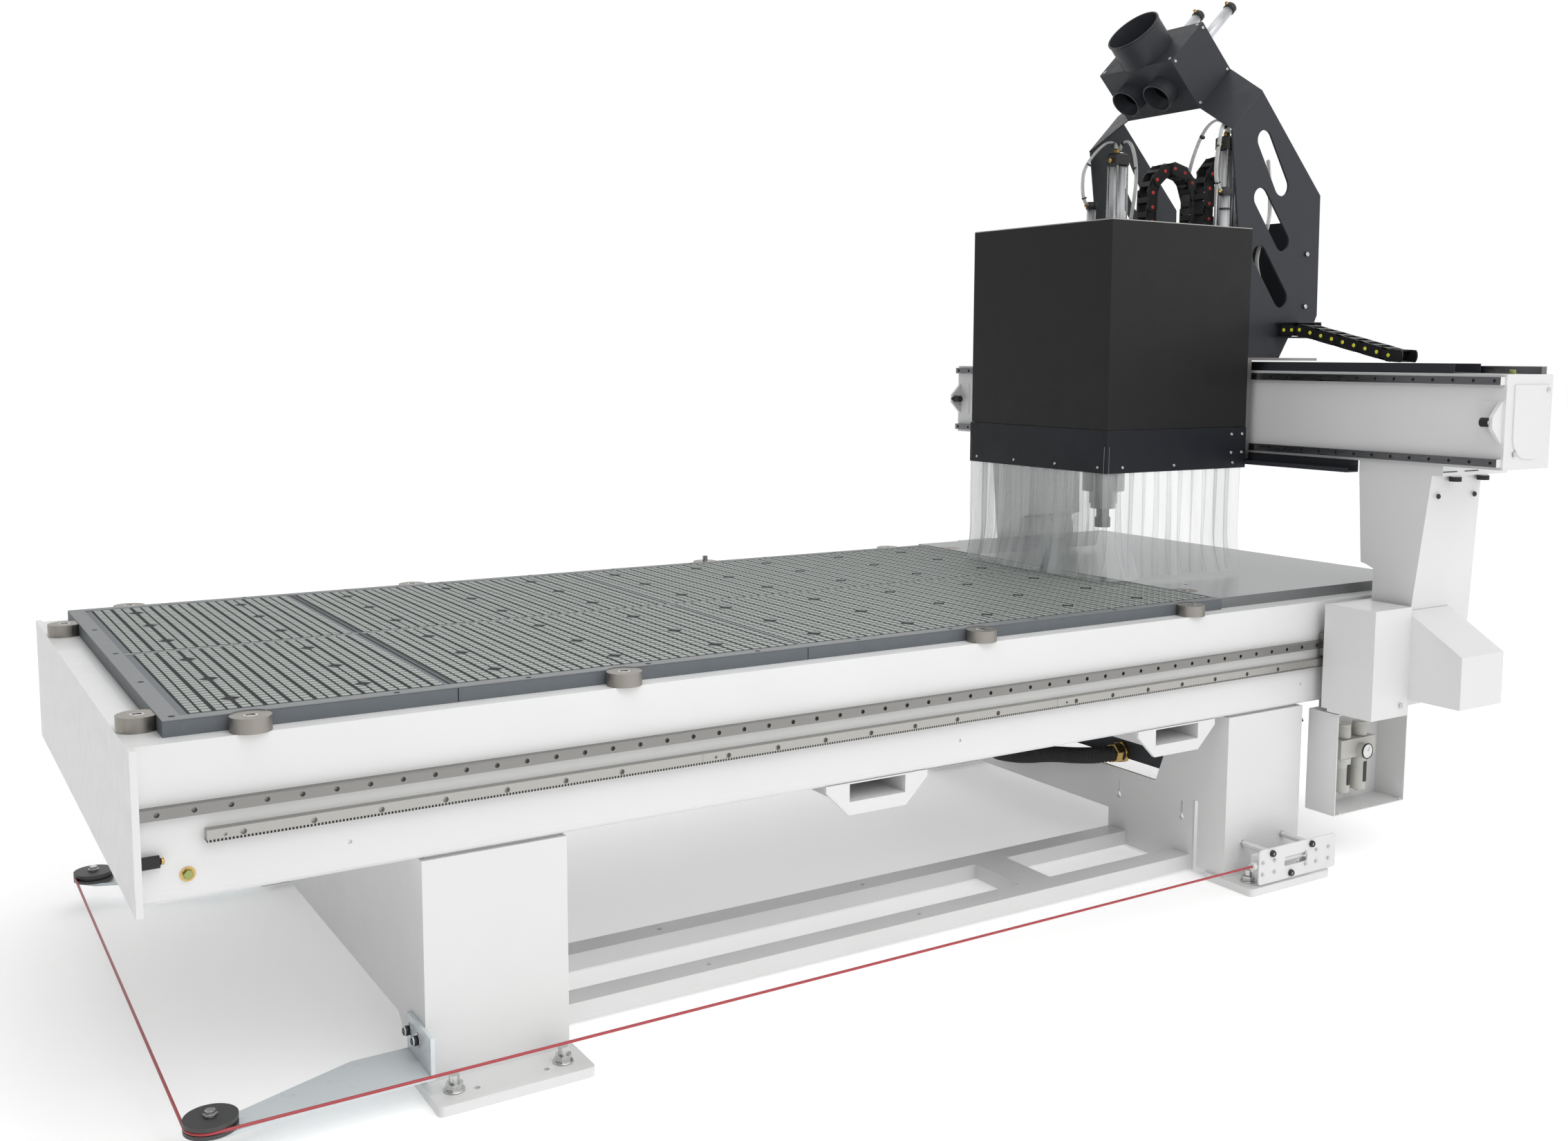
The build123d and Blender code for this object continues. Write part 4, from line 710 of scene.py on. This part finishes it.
def tube_bundle(name, points, replaces=()):
    """Three clear air tubes side by side, held by black ties."""
    for k, shift in enumerate((-0.0045, 0.0, 0.0045)):
        route = [(x, y + shift, z + 0.002 * (k == 1)) for x, y, z in points]
        cable(f"{name}_{k + 1}", route, 0.0026, TUBE, "carriage", replaces)
        replaces = ()
    ties = Shape()
    for a, b, c in list(zip(points[:-2], points[1:-1], points[2:]))[::2]:
        middle = (Vector(a) + Vector(b) * 2 + Vector(c)) / 4
        along = (Vector(c) - Vector(a)).normalized()
        tie = [(0, 0.0078), (0.0005, 0.0086), (0.0035, 0.0086), (0.004, 0.0078)]
        ties.lathe(middle - along * 0.002, along, tie, CHAIN, 12)
    ties.done(f"{name}_ties", "carriage")


def air_tubes():
    hidden = ["air_tubes"]
    for side, (x, y), (hx, hy) in zip(("near", "far"), LIFTS, SMALL_LIFTS):
        tube_bundle(f"{side}_air_bundle", [
            (x - 0.006, y, CAP_TOP + 0.012), (x - 0.010, y, CAP_TOP + 0.034),
            (x - 0.040, mixed(y, hy, 0.4), CAP_TOP + 0.034), (hx - 0.034, hy, 2.010),
            (hx - 0.042, hy, 1.950), (hx - 0.034, hy, 1.900), (hx - 0.018, hy, 1.889)], hidden)
        hidden = []
    tube_bundle("near_cross_bundle", [
        (1.306, -0.262, CAP_TOP + 0.010), (1.306, -0.250, CAP_TOP + 0.040), (1.318, -0.190, CAP_TOP + 0.062),
        (1.340, -0.120, CAP_TOP + 0.030), (1.360, -0.060, 2.000), (1.370, -0.030, 1.920),
        (1.372, -0.020, 1.830)])
    tube_bundle("far_cross_bundle", [
        (1.306, 0.198, CAP_TOP + 0.010), (1.304, 0.186, CAP_TOP + 0.036), (1.292, 0.130, CAP_TOP + 0.030),
        (1.270, 0.080, 1.990), (1.250, 0.066, 1.900), (1.228, 0.060, 1.820)])
    tube_bundle("tower_loop_bundle", [
        (1.440, -0.292, 1.990), (1.452, -0.294, 1.900), (1.450, -0.296, 1.800), (1.410, -0.296, 1.740),
        (1.400, -0.294, 1.680), (1.440, -0.292, 1.610), (1.470, -0.290, 1.560)])


lift_cylinders()
air_tubes()

# ---------------------------------------------------------------- dust box
BACK = Vector((math.sqrt(0.5), 0, math.sqrt(0.5)))
UP = Vector((-math.sqrt(0.5), 0, math.sqrt(0.5)))
BOX_HALF, BOX_Y, BOX_REACH = 0.088, CARRIAGE_Y, 0.150
BOX_MIDDLE = Vector((1.274, BOX_Y, 2.140)) + (BACK + UP) * BOX_HALF
PORTS = (-0.087, 0.043)


def on_box(back, up, y):
    return BOX_MIDDLE + BACK * back + UP * up + Vector((0, y - BOX_Y, 0))


def dust_box_detail():
    trim = Shape()
    for back in (-BOX_HALF + 0.012, BOX_HALF - 0.012):
        for up in (-BOX_HALF + 0.012, BOX_HALF - 0.012):
            for out in (-1, 1):
                trim.screw(on_box(back, up, BOX_Y + out * BOX_REACH), (0, out, 0), 0.005, ZINC)
        for out in (-1, 1):
            trim.screw(on_box(back, BOX_HALF, BOX_Y + out * (BOX_REACH - 0.014)), UP, 0.005, ZINC)
    mouth = on_box(-0.018, BOX_HALF + 0.085, BOX_Y)
    mouth_rim = [(0, 0.0822), (0.001, 0.0840), (0.006, 0.0840), (0.0072, 0.082), (0.006, 0.0792)]
    trim.lathe(mouth - UP * 0.006, UP, mouth_rim, MOTOR, 48, capped=False)
    port_rim = [(0, 0.0452), (0.001, 0.0468), (0.006, 0.0468), (0.0072, 0.045), (0.006, 0.0422)]
    for y in PORTS:
        trim.lathe(on_box(-BOX_HALF - 0.045, 0, y) + BACK * 0.006, -BACK, port_rim, MOTOR, 36, capped=False)
    trim.done("dust_box_trim", "carriage")
    rams = Shape()
    for y in PORTS:
        foot = on_box(BOX_HALF, 0, y)
        rams.lathe(foot, BACK, [(0, 0.020), (0.014, 0.020), (0.016, 0.017)], MOTOR, 24)
        rams.lathe(foot + BACK * 0.016, BACK, [(0, 0.015), (0.174, 0.015)], BARREL, 28)
        rams.lathe(foot + BACK * 0.190, BACK, [(0, 0.018), (0.017, 0.018), (0.022, 0.013)], MOTOR, 24)
        fitting = [(0, 0.005), (0.008, 0.005), (0.010, 0.003)]
        rams.lathe(foot + BACK * 0.198 + UP * 0.016, UP, fitting, BRASS, 6)
    rams.done("gate_rams", "carriage", ["gate_cylinders"])


dust_box_detail()


# ---------------------------------------------------------------- services under the bed
def ribbed_hose(name, points, radius, pitch, body, replaces):
    """A corrugated hose that follows the smooth curve of its points."""
    holder = bpy.data.objects.new(name + "_guide", smooth_curve(name + "_guide", points, 24))
    path = [v.co.copy() for v in bpy.data.meshes.new_from_object(holder).vertices]
    bpy.data.objects.remove(holder)
    hose = Shape()
    rings, walked = [], 0.0
    sides = 24
    step = pitch / 4
    lengths = [0.0]
    for a, b in zip(path[:-1], path[1:]):
        lengths.append(lengths[-1] + (b - a).length)
    segment = 0
    while walked < lengths[-1]:
        while lengths[segment + 1] < walked:
            segment += 1
        share = (walked - lengths[segment]) / (lengths[segment + 1] - lengths[segment])
        here = path[segment].lerp(path[segment + 1], share)
        ahead = (path[segment + 1] - path[segment]).normalized()
        side = ahead.cross(Vector(UPRIGHT)).normalized()
        up = side.cross(ahead)
        r = radius - 0.003 * (0.5 - 0.5 * math.cos(2 * math.pi * walked / pitch))
        rings.append([here + (side * math.cos(t) + up * math.sin(t)) * r
                      for t in (2 * math.pi * k / sides for k in range(sides))])
        walked += step
    hose.loft(rings, RUBBER, smooth=True)
    hose.done(name, body, replaces)


COIL = 0.0175               # radius of the coiled air tube


def services():
    ribbed_hose("vacuum_hose_ribbed", [
        (0.915, -0.275, 0.266), (0.864, -0.275, 0.266), (0.864, -0.163, 0.238), (0.864, -0.038, 0.216),
        (0.864, 0.092, 0.178), (0.864, 0.240, 0.160), (0.897, 0.240, 0.160)],
        0.024, 0.010, "base", ["vacuum_hose"])
    turns = []
    for k in range(65):
        angle = k * math.pi / 4
        x, z = 1.219 + COIL * math.cos(angle), 0.400 + COIL * math.sin(angle)
        turns.append((x, -0.669 + 0.058 * k / 64, z))
    rise = [(1.228, -0.611, 0.412), (1.222, -0.620, 0.436), (1.219, -0.638, 0.450), (1.219, -0.640, 0.460)]
    cable("coiled_tube", turns + rise, 0.0036, RUBBER, "base", ["coiled_air_tube"])
    unit = Shape()
    union = [(0, 0.033), (0.012, 0.033), (0.014, 0.029), (0.040, 0.029), (0.042, 0.0255)]
    bowl = [(0, 0.012), (0.004, 0.0215), (0.094, 0.0250), (0.100, 0.0262)]
    knob = [(0, 0.0205), (0.004, 0.0222), (0.034, 0.0210), (0.041, 0.0160)]
    unit.lathe((0.935, -0.275, 0.266), (-1, 0, 0), union, BRASS, 6)
    for x in (1.338, 1.408):
        unit.lathe((x, -0.728, 0.199), UPRIGHT, bowl, TUBE, 28)
        unit.lathe((x, -0.728, 0.352), UPRIGHT, knob, REGULATOR, 18)
        unit.box((x - 0.006, -0.7545, 0.222), (x + 0.006, -0.7515, 0.280), MOTOR, 0.001)
    gauge = (1.385, -0.776, 0.318)
    bezel = [(-0.002, 0.0222), (0.001, 0.0226), (0.0025, 0.0214), (0.0012, 0.0196)]
    unit.lathe(gauge, (0, -1, 0), bezel, MOTOR, 32)
    unit.lathe(gauge, (0, -1, 0), [(0.0011, 0.0194), (0.0014, 0.0190)], DIAL, 32)
    hand = Vector((0.55, 0, 0.83)) * 0.015
    side = Vector((-0.83, 0, 0.55)) * 0.0008
    tip = Vector(gauge) + Vector((0, -0.0015, 0))
    unit.prism([tip - side, tip + side, tip + hand], (0, -0.0004, 0), MOTOR)
    for x in (1.262, 1.524):
        unit.screw((x, -0.785, 0.1625), (0, -1, 0), 0.0035, ZINC)
    unit.done("air_unit_trim", "base")


services()


# ---------------------------------------------------------------- fasteners
def base_fasteners():
    bolts = Shape()
    standoff = [(0, 0.0100), (0.006, 0.0100), (0.007, 0.0084), (0.090, 0.0084), (0.091, 0.0100),
                (0.0970, 0.0100)]
    washer = [(0, 0.0205), (0.003, 0.0205), (0.0034, 0.018)]
    earth_nut = [(0, 0.0090), (0.0050, 0.0090), (0.0062, 0.0076)]
    bumper_tip = [(-0.002, 0.0060), (0.0035, 0.0060), (0.0045, 0.0045)]
    pulley_nut = [(0, 0.0135), (0.002, 0.0135), (0.0022, 0.0100), (0.0080, 0.0100), (0.0088, 0.0080)]
    pin_ring = [(0, 0.0125), (0.0004, 0.0120), (0.0004, 0.0087)]
    for x in (0.975, 1.130):
        bolts.lathe((x, -0.7025, 0.104), (0, -1, 0), standoff, ZINC, 6)
        bolts.screw((x, -0.804, 0.104), (0, -1, 0), 0.0092, MOTOR, 0.009)
    bolts.screw((1.050, -0.804, 0.038), (0, -1, 0), 0.0092, MOTOR, 0.009)
    for x in (0.940, 0.985, 1.108, 1.150, 1.200):
        for z in (0.052, 0.084):
            bolts.screw((x, -0.804, z), (0, -1, 0), 0.0048, ZINC, 0.0045)
    for side in (-1, 1):
        for y in (0.680, 0.628):
            bolts.lathe((-1.276, side * y, 0.100), (-1, 0, 0), [(0, 0.0140), (0.002, 0.0140)], ZINC, 20)
            bolts.screw((-1.277, side * y, 0.100), (-1, 0, 0), 0.0098, MOTOR, 0.0125)
        for x in (-1.232, -1.012, 0.941, 1.159):
            bolts.lathe((x, side * 0.755, 0.020), UPRIGHT, washer, ZINC, 24)
        for x in (-1.677, 1.677):
            bolts.lathe((x, side * 0.7076, 0.511), (0, side, 0), [(0, 0.0130), (0.0015, 0.0130)], BRASS, 20)
            bolts.lathe((x, side * 0.7090, 0.511), (0, side, 0), earth_nut, GREEN_ZINC, 6)
        for x, end in ((-1.720, 1), (1.720, -1)):
            bolts.lathe((x, side * 0.721, 0.545), (end, 0, 0), bumper_tip, BRASS, 16)
        bolts.lathe((-1.663, side * 0.746, 0.088), UPRIGHT, pulley_nut, ZINC, 6)
    housings = [(x, side * HOUSING_Y) for x in HOUSING_X for side in (-1, 1)]
    housings += [(-1.728, -0.577), (-1.728, 0.480), (0.925, -0.505), (0.925, 0.560)]
    for x, y in housings:
        bolts.lathe((x, y, 0.7719), UPRIGHT, pin_ring, ZINC, 24, capped=False)
    bolts.done("base_fasteners", "base")


def gantry_fasteners():
    bolts = Shape()
    olive_nut = [(0, 0.0140), (0.0015, 0.0140), (0.0016, 0.0088), (0.0100, 0.0088), (0.0112, 0.0072)]
    disc = [(0, 0.0120), (0.0025, 0.0130), (0.0062, 0.0130)]
    for side in (-1, 1):
        slot_y, label_y = (side * 0.9624, side * 0.9630), (side * 1.1262, side * 1.1285)
        for x in (1.430, 1.588):
            bolts.screw((x, side * 0.9285, 1.043), (0, side, 0), 0.0072, MOTOR)
        bolts.screw((1.345, side * 0.9055, 0.478), (0, side, 0), 0.0068, ZINC)
        for x, z in ((1.570, 1.331), (1.439, 1.167)):
            bolts.screw((x, side * 1.1375, z), (0, side, 0), 0.0068, ZINC)
        bolts.lathe((1.500, side * 1.080, 1.371), UPRIGHT, olive_nut, GREEN_ZINC, 6)
        bolts.screw((1.354, side * 1.116, 1.249), (0, side, 0), 0.005, ZINC)
        for x in (1.474, 1.596):
            bolts.lathe((x, side * 0.947, 1.0935), UPRIGHT, disc, DIAL, 24)
        for x in (1.428, 1.520):
            bolts.box((x - 0.030, min(slot_y), 1.110), (x + 0.030, max(slot_y), 1.1125), GROOVE, 0.0001)
        for z in (1.145, 1.354):
            bolts.box((1.3790, min(label_y), z - 0.0105), (1.3970, max(label_y), z + 0.0105), DIAL, 0.0008)
    bolts.done("gantry_fasteners", "gantry")


base_fasteners()
gantry_fasteners()


# ---------------------------------------------------------------- floor, light, camera
FLOOR_GLOW = 0.27
SKY_DIM, SKY_FULL = 0.12, 1.0       # world strength towards -X, and everywhere else
KEY_POWER, FILL_POWER, TOP_POWER = 82, 16, 30


def floor():
    data = bpy.data.meshes.new("floor")
    reach = 40
    corners = [(-reach, -reach, 0), (reach, -reach, 0), (reach, reach, 0), (-reach, reach, 0)]
    data.from_pydata(corners, [], [(0, 1, 2, 3)])
    white, _, surface = shader("floor_white", (0.95, 0.95, 0.95), 0.9)
    surface.inputs["Emission Color"].default_value = (1, 1, 1, 1)
    surface.inputs["Emission Strength"].default_value = FLOOR_GLOW
    data.materials.append(white)
    ground = bpy.data.objects.new("floor", data)
    ground.location.z = -0.001
    bpy.context.scene.collection.objects.link(ground)


def lamp(name, at, aim, size, power):
    """A white rectangular light that points at its aim."""
    light = bpy.data.lights.new(name, "AREA")
    light.shape = "RECTANGLE"
    light.size, light.size_y = size
    light.energy = power
    holder = bpy.data.objects.new(name, light)
    holder.location = at
    holder.rotation_euler = (Vector(aim) - Vector(at)).to_track_quat("-Z", "Y").to_euler()
    bpy.context.scene.collection.objects.link(holder)


def studio():
    world = bpy.data.worlds.new("studio")
    world.use_nodes = True
    tree = world.node_tree
    sky = tree.nodes["Background"]
    sky.inputs["Color"].default_value = (1, 1, 1, 1)
    where = tree.nodes.new("ShaderNodeTexCoord")
    split = tree.nodes.new("ShaderNodeSeparateXYZ")
    tree.links.new(where.outputs["Generated"], split.inputs[0])
    fade = spread(tree, split.outputs["X"], SKY_DIM, SKY_FULL, -0.9, 0.0)
    tree.links.new(fade, sky.inputs["Strength"])
    bpy.context.scene.world = world
    bpy.context.scene.view_settings.view_transform = "Standard"
    lamp("key", (0.5, -5.5, 5.0), (0.3, 0, 0.8), (5, 3), KEY_POWER)
    lamp("gantry_fill", (-1.2, -1.5, 2.6), (1.4, -0.6, 1.1), (1.5, 1.0), FILL_POWER)
    lamp("top", (0, 0.5, 6.5), (0, 0, 0.5), (6, 4), TOP_POWER)


CAMERA_AT = (-2.1236, -3.4394, 1.4067)
CAMERA_ANGLES = (-33.04, -6.31, 0.38)       # yaw, pitch and roll in degrees
LENS, SENSOR = 34.82, 36.0
SHIFT = (-0.0334, -0.0300)


def camera():
    """The reference viewpoint as a plain lens."""
    lens = bpy.data.cameras.new("camera")
    lens.lens, lens.sensor_width = LENS, SENSOR
    lens.shift_x, lens.shift_y = SHIFT
    lens.clip_end = 200
    yaw, pitch, roll = (math.radians(angle) for angle in CAMERA_ANGLES)
    ahead = Vector((-math.sin(yaw) * math.cos(pitch), math.cos(yaw) * math.cos(pitch), math.sin(pitch)))
    level = Vector((math.cos(yaw), math.sin(yaw), 0))
    rise = level.cross(ahead)
    right = level * math.cos(roll) + rise * math.sin(roll)
    up = rise * math.cos(roll) - level * math.sin(roll)
    view = bpy.data.objects.new("camera", lens)
    turn = Matrix((right, up, -ahead)).transposed().to_4x4()
    view.matrix_world = Matrix.Translation(CAMERA_AT) @ turn
    bpy.context.scene.collection.objects.link(view)
    bpy.context.scene.camera = view


floor()
studio()
camera()
